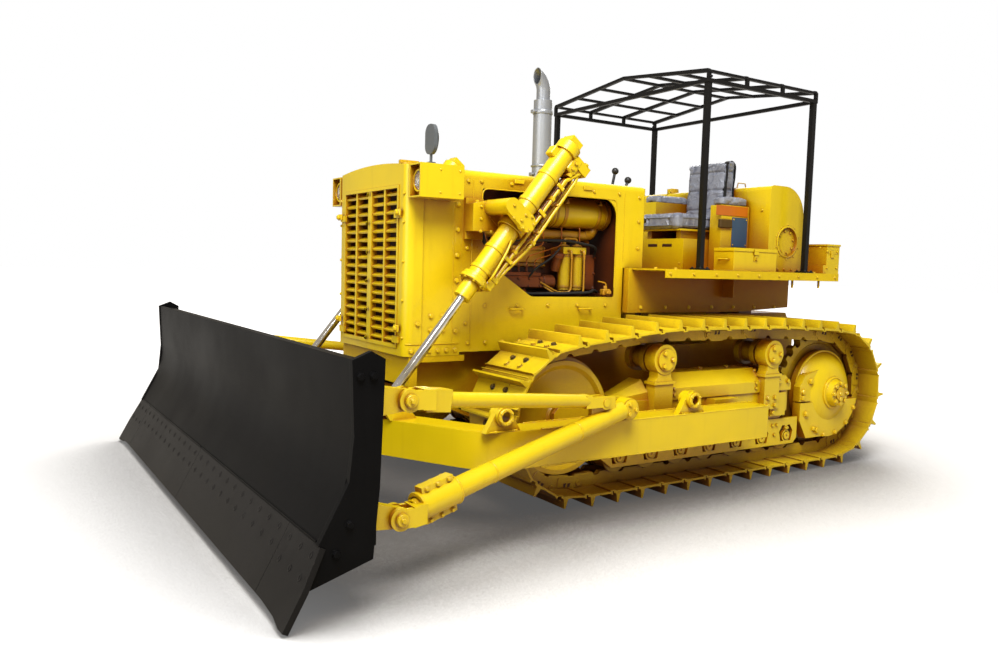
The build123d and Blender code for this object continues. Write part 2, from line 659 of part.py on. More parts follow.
# ---------------------------------------------------------------- C-frame
def bracket(x):
    """Lug on the arm's top for a brace pin, with its foot and the boss at each end of its bore."""
    middle = ARM_OUTER - 50
    top = ARM_LOW + ARM_HEIGHT
    boss_half = 32 if x == BRACKETS_X[1] else 46
    lug = side_plate([
        (x - 120, top - 5), (x + 120, top - 5), (x + 52, BRACKET_Z + 20), (x + 30, BRACKET_Z + 58),
        (x - 30, BRACKET_Z + 58), (x - 52, BRACKET_Z + 20),
    ], middle - BRACKET_LUG / 2, middle + BRACKET_LUG / 2)
    boss = cross_pin(x, BRACKET_Z, middle - boss_half, middle + boss_half, 56)
    return lug + boss


def c_frame():
    """Bow ahead of the tracks with a straight arm along each side."""
    top = ARM_LOW + ARM_HEIGHT
    rear = TRUNNION_X - ARM_END
    corners = [
        (rear, ARM_OUTER), (BOW_CORNER_X, ARM_OUTER), (BOW_NOSE_X, BOW_NOSE_Y),
        (BOW_NOSE_X, -BOW_NOSE_Y), (BOW_CORNER_X, -ARM_OUTER), (rear, -ARM_OUTER),
    ]
    radii = [0, BOW_CORNER_R, BOW_NOSE_R, BOW_NOSE_R, BOW_CORNER_R, 0]
    plan = make_face(FilletPolyline(*corners, radius=radii, close=True))
    hollow = offset(plan, amount=-ARM_WIDTH, kind=Kind.INTERSECTION)
    ring = plan - hollow
    bow = Pos(0, 0, ARM_LOW) * extrude(ring, amount=ARM_HEIGHT, dir=(0, 0, 1))
    bow -= box(rear - 1, rear + ARM_WIDTH + 1, -ARM_OUTER + ARM_WIDTH, ARM_OUTER - ARM_WIDTH, ARM_LOW - 1,
               top + 1)
    pieces = []
    lugs = [bracket(x) for x in BRACKETS_X]
    ear_low = CYLINDER_Y - EYE_WIDTH / 2 - 35
    for y in (ear_low, CYLINDER_Y + EYE_WIDTH / 2 + 5):
        lugs.append(side_plate([
            (ROD_EYE[0] - 170, top - 5), (ROD_EYE[0] + 10, top - 5), (ROD_EYE[0] + 60, ROD_EYE[1] - 30),
            (ROD_EYE[0] + 60, ROD_EYE[1] + 30), (ROD_EYE[0] + 30, ROD_EYE[1] + 60),
            (ROD_EYE[0] - 40, ROD_EYE[1] + 60),
        ], y, y + 30))
        lugs.append(cross_pin(*ROD_EYE, y - 8, y + 38, 44))
    for lug in lugs:
        pieces += [lug, mirrored(lug)]
    pieces.append(bar((BOW_NOSE_X - 20, 0, ARM_LOW + ARM_HEIGHT / 2),
                      (BALL_X, 0, ARM_LOW + ARM_HEIGHT / 2), 62))
    pieces.append(Pos(BALL_X, 0, ARM_LOW + ARM_HEIGHT / 2) * Sphere(BALL_R))
    frame = bow + pieces
    for side in (1, -1):
        low, high = sorted((side * (ARM_OUTER - PIN_COVER), side * (ARM_OUTER - ARM_WIDTH - 1)))
        frame -= cross_pin(TRUNNION_X, TRUNNION_Z, low, high, TRUNNION_R + PIN_PLAY)
        for x in BRACKETS_X:
            pin_low, pin_high = sorted((side * (ARM_OUTER - 100), side * ARM_OUTER))
            frame -= cross_pin(x, BRACKET_Z, pin_low, pin_high, BRACE_PIN_R + SEAT_GAP)
    gap_low = CYLINDER_Y - EYE_WIDTH / 2 - 5
    for side in (1, -1):
        low, high = sorted((side * gap_low, side * (gap_low + EYE_WIDTH + 10)))
        frame -= box(ROD_EYE[0] - 70, ROD_EYE[0] + 70, low, high, top + 1, ROD_EYE[1] + 60)
    return frame


node("c_frame", c_frame())


# ---------------------------------------------------------------- blade
def sloped(point, along, out):
    """A point measured along and out from the lower slope of the mouldboard."""
    ux, uz = math.sin(EDGE_SLOPE), -math.cos(EDGE_SLOPE)
    return (point[0] + ux * along - uz * out, point[1] + uz * along + ux * out)


def blade():
    """Curved mouldboard between its end plates, with the box beam and ribs at its back."""
    foot_run = (EDGE_JOINT[1] - MOLD_FOOT_Z) / math.cos(EDGE_SLOPE)
    front_foot = sloped(EDGE_JOINT, foot_run, -EDGE_PLATE)
    back_foot = sloped(EDGE_JOINT, foot_run, -EDGE_PLATE - MOLD_PLATE)
    step = sloped(EDGE_JOINT, 0, -EDGE_PLATE)
    y = -BLADE_HALF + END_PLATE

    def at(point):
        return (point[0], y, point[1])

    top = (BLADE_TOP_X, BLADE_TOP)
    back_top = (BLADE_TOP_X - MOLD_PLATE, BLADE_TOP)
    slope_back = sloped(EDGE_JOINT, 0, -EDGE_PLATE - MOLD_PLATE)
    lean = math.tan(EDGE_SLOPE)
    upright = (BLADE_TOP_X - BLADE_BEND[0]) / (BLADE_TOP - BLADE_BEND[1])
    back_bend_z = (slope_back[0] - back_top[0] + lean * slope_back[1] + upright * BLADE_TOP) / (lean + upright)
    back_bend = (back_top[0] - upright * (BLADE_TOP - back_bend_z), back_bend_z)
    front = FilletPolyline(at(top), at(BLADE_BEND), at(EDGE_JOINT), radius=MOLD_R)
    foot = Polyline(at(EDGE_JOINT), at(step), at(front_foot), at(back_foot))
    back = FilletPolyline(at(back_foot), at(back_bend), at(back_top), radius=MOLD_R)
    rim = Line(at(back_top), at(top))
    face = make_face([*front.edges(), *foot.edges(), *back.edges(), *rim.edges()])
    board = extrude(face, amount=2 * (BLADE_HALF - END_PLATE), dir=(0, 1, 0))

    end_outline = [
        (BLADE_BACK_X - 17, BLADE_TOP), (BLADE_TOP_X - 83, BLADE_TOP + 36), (BLADE_TOP_X + 6, BLADE_TOP),
        (BLADE_TOP_X - 8, 800), (BLADE_BEND[0] + 30, 600), sloped(EDGE_JOINT, 0, 6),
        sloped(EDGE_JOINT, 0, -EDGE_PLATE), sloped(EDGE_JOINT, foot_run, -EDGE_PLATE),
        (BLADE_BACK_X + 27, 250),
        (BLADE_BACK_X, 569),
    ]
    end = side_plate(end_outline, BLADE_HALF - END_PLATE, BLADE_HALF)
    low_beam = side_plate([
        (BLADE_BACK_X, 300), sloped(EDGE_JOINT, foot_run - 60, -EDGE_PLATE - MOLD_PLATE + 4),
        sloped(EDGE_JOINT, 40, -EDGE_PLATE - MOLD_PLATE + 4),
        (BLADE_BEND[0] - 10, 620), (BLADE_BACK_X, 620),
    ], -BLADE_HALF + END_PLATE, BLADE_HALF - END_PLATE)
    top_beam = side_plate([
        (BLADE_BACK_X + 10, BLADE_TOP - 110), (BLADE_TOP_X - 24, BLADE_TOP - 110),
        (BLADE_TOP_X - 20, BLADE_TOP - 15),
        (BLADE_BACK_X + 30, BLADE_TOP - 15),
    ], -BLADE_HALF + END_PLATE, BLADE_HALF - END_PLATE)
    ribs = []
    for rib_y in BACK_RIB_Y:
        ribs.append(side_plate([
            (BLADE_BACK_X + 5, 615), (BLADE_BEND[0] - 10, 615), (BLADE_TOP_X - 24, BLADE_TOP - 100),
            (BLADE_BACK_X + 15, BLADE_TOP - 100),
        ], rib_y - 12, rib_y + 12))
    ribs = [piece for rib in ribs for piece in (rib, mirrored(rib))]
    centre_z = ARM_LOW + ARM_HEIGHT / 2
    socket = bar((BALL_X + 22, 0, centre_z), (BLADE_BACK_X + 5, 0, centre_z), 135)
    socket -= Pos(BALL_X, 0, centre_z) * Sphere(BALL_R + SEAT_GAP)
    return board + [end, mirrored(end), low_beam, top_beam, socket, *ribs]


node("blade", blade())


def cutting_edges():
    """Bolted centre edge in two lengths, and a wider end bit at each corner that reaches further down."""
    run = (EDGE_JOINT[1] - EDGE_TIP_Z) / math.cos(EDGE_SLOPE)
    outline = [
        EDGE_JOINT, sloped(EDGE_JOINT, run, 0), sloped(EDGE_JOINT, run - 34, -EDGE_PLATE),
        sloped(EDGE_JOINT, 0, -EDGE_PLATE),
    ]
    inner, drop = BLADE_HALF - END_BIT + 2, BIT_DROP / math.cos(EDGE_SLOPE)
    edge = side_plate(outline, 2, BLADE_HALF - END_BIT - 2)
    # The bit's outline: (across the machine, along the slope).
    outside, tip = BLADE_HALF + 6, BLADE_HALF + BIT_REACH
    shape = [(inner, 0), (outside, 0), (tip, run * 0.55), (tip, run + drop), (tip - 60, run + drop),
             (tip - 150, run + drop / 3), (inner + 90, run), (inner, run)]
    corners = []
    for y, along in shape:
        x, z = sloped(EDGE_JOINT, along, -EDGE_PLATE)
        corners.append((x, y, z))
    normal = (math.cos(EDGE_SLOPE), 0, math.sin(EDGE_SLOPE))
    bit = extrude(make_face(Polyline(*corners, close=True)), amount=EDGE_PLATE, dir=normal)
    return Compound(children=[edge.solid(), bit.solid()])


node("cutting_edges", both(cutting_edges()))


def blade_lug(clevis):
    """Lug on the blade's back for the front end of a brace: its root lies on the plate behind the face."""
    x, y, z = clevis
    if z > BLADE_BEND[1]:
        lean = (BLADE_TOP_X - BLADE_BEND[0]) / (BLADE_TOP - BLADE_BEND[1])
        low, high = z - 88, z + 100
        root = [(BLADE_TOP_X - MOLD_PLATE - lean * (BLADE_TOP - height), height) for height in (low, high)]
    else:
        root = [(BLADE_BACK_X, height) for height in (z - 35, z + 110)]
    lug = side_plate([(x, z - LUG_R), *root, (x, z + LUG_R)], y - LUG_HALF, y + LUG_HALF)
    lug += cross_pin(x, z, y - LUG_HALF, y + LUG_HALF, LUG_R)
    return lug - cross_pin(x, z, y - LUG_HALF - 1, y + LUG_HALF + 1, BRACE_PIN_R + SEAT_GAP)


lugs = Compound(children=[blade_lug(clevis).solid() for clevis in (UPPER_CLEVIS, LOWER_CLEVIS)])
node("blade_lugs", both(lugs))


# ---------------------------------------------------------------- braces
def between(start, end, distance):
    """The point at a distance from start towards end."""
    run = Vector(*end) - Vector(*start)
    point = Vector(*start) + run.normalized() * distance
    return (point.X, point.Y, point.Z)


BRACKET_PIN = (BRACKETS_X[1], ARM_OUTER - 50, BRACKET_Z)
LOWER_REAR = (BRACKETS_X[1], ARM_OUTER + 42, BRACKET_Z)


def fork(clevis, drop):
    """Forged fork that straddles a blade lug: two cheeks with round bosses, a block behind them, the pin."""
    x, y, z = clevis
    inner = LUG_HALF + FORK_PLAY
    outer = inner + FORK_CHEEK
    rear = x - FORK_BACK - 70
    block = side_plate([
        (x - FORK_BACK, z - 50), (x - FORK_BACK, z + 50), (rear, z + 50 + drop), (rear, z - 50 + drop),
    ], y - outer, y + outer)
    pieces = [cross_pin(x, z, y - outer - 12, y + outer + 12, BRACE_PIN_R)]
    for side in (1, -1):
        low, high = sorted((y + side * inner, y + side * outer))
        pieces.append(cross_pin(x, z, low, high, FORK_R))
        pieces.append(box(x - FORK_BACK - 5, x, low, high, z - 46, z + 46))
    return block + pieces


def lower_brace():
    """Screw brace from the arm's middle bracket down to the blade's foot, locked by its slotted clamp."""
    rear_eye = cross_pin(LOWER_REAR[0], LOWER_REAR[2], ARM_OUTER + 4, ARM_OUTER + 84, 66)
    clamp_low, clamp_high = (between(LOWER_CLEVIS, LOWER_REAR, distance) for distance in COLLAR_RUN)
    tube = bar(between(LOWER_REAR, LOWER_CLEVIS, 50), clamp_high, 57)
    clamp = bar(clamp_low, clamp_high, 72)
    ear = square_bar(between(LOWER_CLEVIS, LOWER_REAR, COLLAR_RUN[0] + 15),
                     between(LOWER_CLEVIS, LOWER_REAR, COLLAR_RUN[1] - 15), 56, 190)
    screw = bar(between(LOWER_CLEVIS, LOWER_REAR, FORK_BACK + 30), clamp_low, 46)
    seat = between(LOWER_REAR, LOWER_CLEVIS, 235)
    saddle = box(seat[0] - 90, seat[0] + 90, seat[1] - 16, seat[1] + 16, seat[2] - 10,
                 seat[2] + SADDLE_PIN + 32)
    pin = cross_pin(*BRACKET_PIN[::2], ARM_OUTER - 110, ARM_OUTER + 96, BRACE_PIN_R)
    brace = rear_eye + [tube, clamp, ear, screw, fork(LOWER_CLEVIS, 12), saddle, pin]
    return brace - cross_pin(seat[0], seat[2] + SADDLE_PIN, seat[1] - 20, seat[1] + 20, 24 + SEAT_GAP)


def upper_brace():
    """Plain brace from the lug on the lower brace to the blade's top."""
    seat = between(LOWER_REAR, LOWER_CLEVIS, 235)
    rear = (seat[0], seat[1], seat[2] + SADDLE_PIN)
    cheeks = []
    for low, high in ((rear[1] - 42, rear[1] - 17), (rear[1] + 17, rear[1] + 42)):
        cheeks.append(cross_pin(rear[0], rear[2], low, high, 40))
        cheeks.append(box(rear[0], rear[0] + 120, low, high, rear[2] - 26, rear[2] + 40))
    cheeks.append(cross_pin(rear[0], rear[2], rear[1] - 48, rear[1] + 48, 24))
    root = box(rear[0] + 105, rear[0] + 150, rear[1] - 42, rear[1] + 42, rear[2] - 26, rear[2] + 50)
    tube = bar((rear[0] + 130, rear[1] + 4, rear[2] + 14), between(UPPER_CLEVIS, rear, 120), 40)
    yoke = square_bar(between(UPPER_CLEVIS, rear, 250), between(UPPER_CLEVIS, rear, FORK_BACK + 30), 92, 112)
    return tube + [root, yoke, fork(UPPER_CLEVIS, -4), *cheeks]


node("lower_braces", both(lower_brace()))
node("upper_braces", both(upper_brace()))


# ---------------------------------------------------------------- lift cylinders
PIVOT = (BARREL_PIVOT[0], CYLINDER_Y, BARREL_PIVOT[1])
EYE = (ROD_EYE[0], CYLINDER_Y, ROD_EYE[1])
REACH = math.dist(PIVOT, EYE)


def on_axis(distance, side=0.0, up=0.0):
    """A point on the cylinder's axis: distance from the trunnions towards the eye, offset sideways and up."""
    dx, dz = (EYE[0] - PIVOT[0]) / REACH, (EYE[2] - PIVOT[2]) / REACH
    return (PIVOT[0] + dx * distance - dz * up, CYLINDER_Y + side, PIVOT[2] + dz * distance + dx * up)


def lift_cylinder():
    """Barrel with its trunnion collar, head flange, end block and oil pipes; hollow for the rod."""
    gland_end = BARREL_DOWN + GLAND_LENGTH
    x, z = BARREL_PIVOT
    tube = bar(on_axis(-BARREL_UP), on_axis(BARREL_DOWN), BARREL_R)
    collar = bar(on_axis(-COLLAR_HALF), on_axis(COLLAR_HALF), COLLAR_R)
    trunnions = cross_pin(x, z, CYLINDER_Y - TRUNNION_PIN_REACH, CYLINDER_Y + TRUNNION_PIN_REACH,
                          TRUNNION_PIN_R)
    flange = bar(on_axis(BARREL_DOWN - 45), on_axis(BARREL_DOWN), BARREL_R + 19)
    gland = bar(on_axis(BARREL_DOWN), on_axis(gland_end), 55)
    cap = bar(on_axis(-BARREL_UP - 40), on_axis(-BARREL_UP + 30), BARREL_R + 15)
    block = square_bar(on_axis(-BARREL_UP - 95), on_axis(-BARREL_UP + 10), 110, 100)
    manifold = square_bar(on_axis(-BARREL_UP + 20, up=-70), on_axis(-BARREL_UP + 20, up=-205), 110, 70)
    top = -BARREL_UP + 40
    pipes = []
    # columns: sideways place of the pipe, its lower end
    for side, low in ((-34, -60), (0, -60), (34, BARREL_DOWN - 60)):
        pipes.append(bar(on_axis(top, side, -170), on_axis(top + 140, side, -104), PIPE_R))
        pipes.append(bar(on_axis(top + 134, side, -104), on_axis(low, side, -104), PIPE_R))
    pipes.append(bar(on_axis(BARREL_DOWN - 66, 34, -108), on_axis(BARREL_DOWN - 20, 34, -70), PIPE_R))
    for side in (-34, 0):
        pipes.append(bar(on_axis(-66, side, -108), on_axis(-40, side, -80), PIPE_R))
    body = tube + [collar, trunnions, flange, gland, cap, block, manifold, *pipes]
    body -= bar(on_axis(-BARREL_UP + 30), on_axis(BARREL_DOWN - 20), BARREL_R - BARREL_WALL)
    body -= bar(on_axis(BARREL_DOWN - 30), on_axis(gland_end + 1), ROD_R + PIN_PLAY)
    return body


def lift_rod():
    """Chromed rod with its piston, and the eye at its lower end."""
    piston = bar(on_axis(PISTON_FACE - PISTON_LENGTH), on_axis(PISTON_FACE),
                 BARREL_R - BARREL_WALL - PIN_PLAY)
    rod = bar(on_axis(PISTON_FACE - 10), on_axis(REACH - 20), ROD_R)
    eye = cross_pin(*ROD_EYE, CYLINDER_Y - EYE_WIDTH / 2, CYLINDER_Y + EYE_WIDTH / 2, EYE_R)
    return rod + [piston, eye]


left_cylinder, left_rod = lift_cylinder(), lift_rod()
node("lift_cylinder_left", left_cylinder)
node("lift_cylinder_right", mirrored(left_cylinder))
node("lift_rod_left", left_rod)
node("lift_rod_right", mirrored(left_rod))


def cylinder_yoke():
    """Cast fork beside the guard that holds the barrel by both trunnion pins, with a round boss at each."""
    x, z = BARREL_PIVOT
    outer = CYLINDER_Y + TRUNNION_PIN_REACH
    inner = CYLINDER_Y - TRUNNION_PIN_REACH
    front = GUARD_REAR - 10
    bridge = (x + 112, z + 98)
    pieces = [cross_pin(*bridge, inner, outer, 52)]
    for low, high in ((outer - YOKE_ARM, outer), (HOOD_HALF + 20, inner + YOKE_ARM)):
        pieces.append(cross_pin(x, z, low, high, YOKE_BOSS_R))
        pieces.append(side_plate([
            (x + 20, z - 56), (bridge[0] + 38, bridge[1] - 36), (bridge[0] - 36, bridge[1] + 38),
            (x - 44, z + 44),
        ], low, high))
    stem = side_plate([
        (x, z - 58), (front, z - 58), (front, z + 120), (bridge[0], bridge[1] + 50), (x - 20, z + 58),
    ], HOOD_HALF + 20, inner + YOKE_ARM - 8)
    base = box(WINDOW_FRONT + 6, front, HOOD_HALF, HOOD_HALF + 26, z - 110, z + 160)
    yoke = base + [stem, *pieces]
    return yoke - cross_pin(x, z, inner - 30, outer + 1, TRUNNION_PIN_R + PIN_PLAY)


node("cylinder_yokes", both(cylinder_yoke()))

# ---------------------------------------------------------------- hull
def main_frame():
    """Side rails, belly guard, transmission case, axle housings and the cross beam to the track frames."""
    front = GUARD_FRONT - 40
    pieces = []
    rail = side_plate([
        (SPROCKET_X + 500, HULL_FLOOR + 60), (1180, HULL_FLOOR + 60), (front - 100, 700), (front, 760),
        (front, RAIL_TOP), (SPROCKET_X + 500, RAIL_TOP),
    ], HULL_HALF - 60, HULL_HALF)
    belly = side_plate([
        (SPROCKET_X + 400, HULL_FLOOR), (1150, HULL_FLOOR), (front - 60, 690), (front - 74, 706),
        (1144, HULL_FLOOR + 22), (SPROCKET_X + 400, HULL_FLOOR + 22),
    ], -HULL_HALF, HULL_HALF)
    nose = box(front - 60, front, -GUARD_HALF + 10, GUARD_HALF - 10, 745, RAIL_TOP)
    sill = box(GUARD_REAR - 40, front, -GUARD_HALF + 10, GUARD_HALF - 10, RAIL_TOP - 40, RAIL_TOP)
    case = side_plate([
        (SPROCKET_X - 380, 520), (SPROCKET_X - 300, HULL_FLOOR - 40), (SPROCKET_X + 700, HULL_FLOOR - 40),
        (SPROCKET_X + 700, CASE_TOP), (SPROCKET_X - 270, CASE_TOP), (SPROCKET_X - 380, 1000),
    ], -HULL_HALF, HULL_HALF)
    axle = cross_pin(SPROCKET_X, SPROCKET_Z, HULL_HALF - 5, TRACK_Y - 180, 205)
    beam = box(CARRIERS_X[0] + 120, CARRIERS_X[0] + 300, -TRACK_Y + BEAM_HALF, TRACK_Y - BEAM_HALF, 560, 660)
    pivot = cross_pin(CARRIERS_X[1] + 60, BEAM_HIGH - 80, -TRACK_Y + BEAM_HALF, TRACK_Y - BEAM_HALF, 70)
    pieces += [mirrored(rail), belly, nose, sill, case, axle, mirrored(axle), beam, pivot]
    return rail + pieces


node("main_frame", main_frame())


def drawbar():
    """Bolted plate behind the case with a jaw for a towed machine's eye."""
    rear = SPROCKET_X - 380
    plate = box(rear - 40, rear, -230, 230, DRAWBAR_Z - 20, DRAWBAR_Z + 420)
    jaws = []
    for z in (DRAWBAR_Z + 40, DRAWBAR_Z + 150):
        jaw = plan_plate([
            (rear - 20, -150), (DRAWBAR_END + 60, -75), (DRAWBAR_END, -40), (DRAWBAR_END, 40),
            (DRAWBAR_END + 60, 75), (rear - 20, 150),
        ], z, z + 36)
        jaws.append(jaw)
    hitch = plate + jaws
    return hitch - bar((DRAWBAR_END + 70, 0, DRAWBAR_Z), (DRAWBAR_END + 70, 0, DRAWBAR_Z + 300),
                       DRAWBAR_PIN_R)


node("drawbar", drawbar())


# ---------------------------------------------------------------- engine
def engine():
    """One block for the engine at its real place, with its heads, its sump and the fan's drive."""
    rear, front = ENGINE_X
    block = box(rear, front, -ENGINE_HALF, ENGINE_HALF, RAIL_TOP, ENGINE_TOP)
    sump = box(rear + 100, front - 200, -ENGINE_HALF + 60, ENGINE_HALF - 60, HULL_FLOOR + 200, RAIL_TOP + 5)
    heads = box(rear + 60, front - 60, -HEAD_HALF, HEAD_HALF, ENGINE_TOP - 5, HEAD_TOP)
    feet = []
    for x in (rear + 80, front - 180):
        feet.append(box(x, x + 100, -HULL_HALF, HULL_HALF, RAIL_TOP, RAIL_TOP + 60))
    shaft_z = (GRILLE_FOOT + GRILLE_TOP) / 2 - 60
    shaft = bar((front - 5, 0, shaft_z), (front + 90, 0, shaft_z), 60)
    return block + [sump, heads, shaft, *feet]


node("engine_block", engine())


def engine_filters():
    """Two oil filters on one bracket at the engine's left side."""
    y = ENGINE_HALF + FILTER_R + 48
    low, high = FILTER_Z
    head = box(FILTERS_X[0] - FILTER_R, FILTERS_X[1] + FILTER_R, ENGINE_HALF, y + FILTER_R + 8, high - 5,
               high + 45)
    bowls = []
    for x in FILTERS_X:
        bowls.append(bar((x, y, low), (x, y, high), FILTER_R))
        bowls.append(bar((x, y, low - 20), (x, y, low + 5), 20))
    return head + bowls


node("engine_filters", engine_filters())


def air_cleaner():
    """Round air cleaner that lies along the engine on two legs, with its outlet down onto the heads."""
    x_low, x_high = CLEANER_X
    y, z = CLEANER_Y, CLEANER_Z
    outlet_x, outlet_y, outlet_r = x_high - 100, HEAD_HALF - 60, 50
    body = bar((x_low, y, z), (x_high, y, z), CLEANER_R)
    cap = bar((x_low - 40, y, z), (x_low + 2, y, z), CLEANER_R - 25)
    across = bar((outlet_x, y - 60, z), (outlet_x, outlet_y, z), outlet_r)
    down = bar((outlet_x, outlet_y, z + outlet_r), (outlet_x, outlet_y, HEAD_TOP), outlet_r)
    legs = [box(x, x + 40, y - 90, y - 40, ENGINE_TOP, z - 60) for x in (ENGINE_X[0], x_high - 60)]
    return body + [cap, across, down, *legs]


node("air_cleaner", air_cleaner())


# ---------------------------------------------------------------- radiator guard and grille
def arched(x_low, x_high, half, low, shoulder, crown):
    """A block with an arched top, seen from the front."""
    line = Polyline((x_low, half, shoulder), (x_low, half, low), (x_low, -half, low),
                    (x_low, -half, shoulder))
    arch = ThreePointArc((x_low, -half, shoulder), (x_low, 0, crown), (x_low, half, shoulder))
    return extrude(make_face([*line.edges(), arch]), amount=x_high - x_low, dir=(1, 0, 0))


def round_fronted(x_low, x_high, inset, foot):
    """The guard's form, inset on every side, with its two upright front corners rounded."""
    body = arched(x_low, x_high, GUARD_HALF - inset, foot, GUARD_SIDE_TOP - inset, GUARD_CROWN - inset)
    upright = [edge for edge in body.edges().filter_by(Axis.Z) if edge.center().X > x_high - 1]
    return fillet(upright, GUARD_CORNER - inset)


def radiator_guard():
    """Guard round the radiator: an arched front casting, the plates behind it and the filler cap."""
    step_x, step = GUARD_FRONT - GUARD_CASTING, GUARD_HALF - HOOD_HALF
    body = round_fronted(step_x, GUARD_FRONT, 0, GUARD_FOOT)
    body += arched(GUARD_REAR, step_x + 1, HOOD_HALF, GUARD_FOOT, GUARD_SIDE_TOP - step, GUARD_CROWN - step)
    body -= round_fronted(GUARD_REAR - 1, GUARD_FRONT - GUARD_WALL, GUARD_WALL + step, GUARD_FOOT - 1)
    body -= box(GUARD_FRONT - 60, GUARD_FRONT + 1, -GRILLE_HALF, GRILLE_HALF, GRILLE_FOOT, GRILLE_TOP)
    cap_x = (GUARD_REAR + step_x) / 2 - 20
    cap = bar((cap_x, 0, GUARD_CROWN - step - 8), (cap_x, 0, GUARD_CROWN + 42), 62)
    lug = box(cap_x - 70, cap_x + 70, -18, 18, GUARD_CROWN + 36, GUARD_CROWN + 62)
    return body + [cap, lug]


node("radiator_guard", radiator_guard())


def radiator_core():
    """Core between its tanks, behind the grille."""
    rear, half = GUARD_REAR + 70, GRILLE_HALF + 20
    core = box(rear + 20, rear + 160, -GRILLE_HALF, GRILLE_HALF, GRILLE_FOOT + 60, GRILLE_TOP - 90)
    low_tank = box(rear, rear + 180, -half, half, GUARD_FOOT, GRILLE_FOOT + 62)
    top_tank = box(rear, rear + 180, -half, half, GRILLE_TOP - 92, GRILLE_TOP + 80)
    return core + [low_tank, top_tank]


node("radiator_core", radiator_core())


def grille():
    """Bolted grille: four columns of tilted slats between uprights, held by a clamp at each corner."""
    x_back = GUARD_FRONT - GUARD_WALL - SLAT_DEPTH + 8
    x_front = GUARD_FRONT + 6
    half = GRILLE_HALF - GRILLE_PLAY
    low, high = GRILLE_FOOT + GRILLE_PLAY, GRILLE_TOP - GRILLE_PLAY
    foot_bar, head_bar = 26, 20
    frame = box(x_back, x_front, -half, half, low, high)
    frame -= box(x_back - 1, x_front + 1, -half + GRILLE_UPRIGHT, half - GRILLE_UPRIGHT, low + foot_bar,
                 high - head_bar)
    column = half / 2 + GRILLE_DIVIDER / 8
    uprights = [box(x_back, x_front - 2, -GRILLE_DIVIDER / 2, GRILLE_DIVIDER / 2, low + 5, high - 5)]
    for y in (-column, column):
        uprights.append(box(x_back, x_front - 4, y - GRILLE_UPRIGHT / 2, y + GRILLE_UPRIGHT / 2, low + 5,
                            high - 5))
    row_height = (high - low - foot_bar - head_bar) / GRILLE_ROWS
    slats = []
    for row in range(GRILLE_ROWS):
        z = low + foot_bar + row_height * (row + 0.5)
        slat = Rot(0, SLAT_TILT, 0) * Box(SLAT_DEPTH, 2 * half - GRILLE_UPRIGHT, SLAT_PLATE)
        slats.append(Pos((x_back + x_front) / 2 - 3, 0, z) * slat)
    clamps = []
    for side in (1, -1):
        for z in (low + 60, high - 190):
            y_low, y_high = sorted((side * (half - 40), side * (half + 40)))
            clamps.append(box(GUARD_FRONT, GUARD_FRONT + 18, y_low, y_high, z - 22, z + 22))
    return frame + [*uprights, *slats, *clamps]


node("grille", grille())


def headlight():
    """Lamp box at the guard's upper corner, open at the front round two lamps, one above the other."""
    rear, front = LAMP_BOX_X
    low, high = LAMP_BOX_Z
    outer = GUARD_HALF + LAMP_BOX_WIDTH
    shell = box(rear, front, GUARD_HALF, outer, low, high)
    shell -= box(front - LAMP_RECESS, front + 1, GUARD_HALF + 22, outer - 10, low + 10, high - 10)
    middle_y = (GUARD_HALF + outer) / 2 + 6
    lamps = []
    for z in (low + 10 + LAMP_R, high - 10 - LAMP_R):
        lamps.append(bar((front - LAMP_RECESS - 2, middle_y, z), (front - 40, middle_y, z), LAMP_R))
    return shell + lamps


node("headlights", both(headlight()))


def mirror_arm():
    """Round-ended rear-view mirror on a short stalk on the left lamp box."""
    x, y, seat = MIRROR_X, MIRROR_Y, LAMP_BOX_Z[1]
    low, high = MIRROR_Z
    stalk = bar((x, y, seat), (x, y, low + 10), 9)
    foot = box(x - 22, x + 22, y - 22, y + 22, seat, seat + 8)
    outline = [(y - MIRROR_HALF, low), (y + MIRROR_HALF, low), (y + MIRROR_HALF, high),
               (y - MIRROR_HALF, high)]
    head = front_plate(outline, x - 12, x + 12, MIRROR_HALF - 7)
    return stalk + [foot, head]


node("mirror", mirror_arm())


# ---------------------------------------------------------------- hood
def hood():
    """Folded sheet hood over the engine, with the service opening in each side."""
    def shell(inset, x_low, x_high):
        half, top, low = HOOD_HALF - inset, HOOD_TOP - inset, HOOD_FOOT - 100
        return front_plate([(-half, low), (-half, top), (half, top), (half, low)], x_low, x_high,
                           HOOD_ROUND - inset)
    body = shell(0, HOOD_REAR, GUARD_REAR)
    body -= shell(HOOD_SHEET, HOOD_REAR - 1, GUARD_REAR + 1)
    body -= box(HOOD_REAR - 1, GUARD_REAR + 1, -HOOD_HALF - 1, HOOD_HALF + 1, 0, HOOD_FOOT)
    # The opening's corners: (x, z, rounding).
    opening = [
        (WINDOW_REAR, WINDOW_SILL, 12), (770, WINDOW_SILL, 90), (1000, WINDOW_SILL + 145, 60),
        (WINDOW_FRONT, WINDOW_TOP - 350, 60), (WINDOW_FRONT, WINDOW_TOP, 12), (WINDOW_REAR, WINDOW_TOP, 130),
    ]
    corners = [(x, -HOOD_HALF - 1, z) for x, z, _ in opening]
    line = FilletPolyline(*corners, radius=[rounding for _, _, rounding in opening], close=True)
    body -= extrude(make_face(line), amount=2 * HOOD_HALF + 2, dir=(0, 1, 0))
    return body - box(HOOD_REAR - 1, FENDER_FRONT + 40, -HOOD_HALF - 1, HOOD_HALF + 1, 0, DECK_TOP)


node("hood", hood())


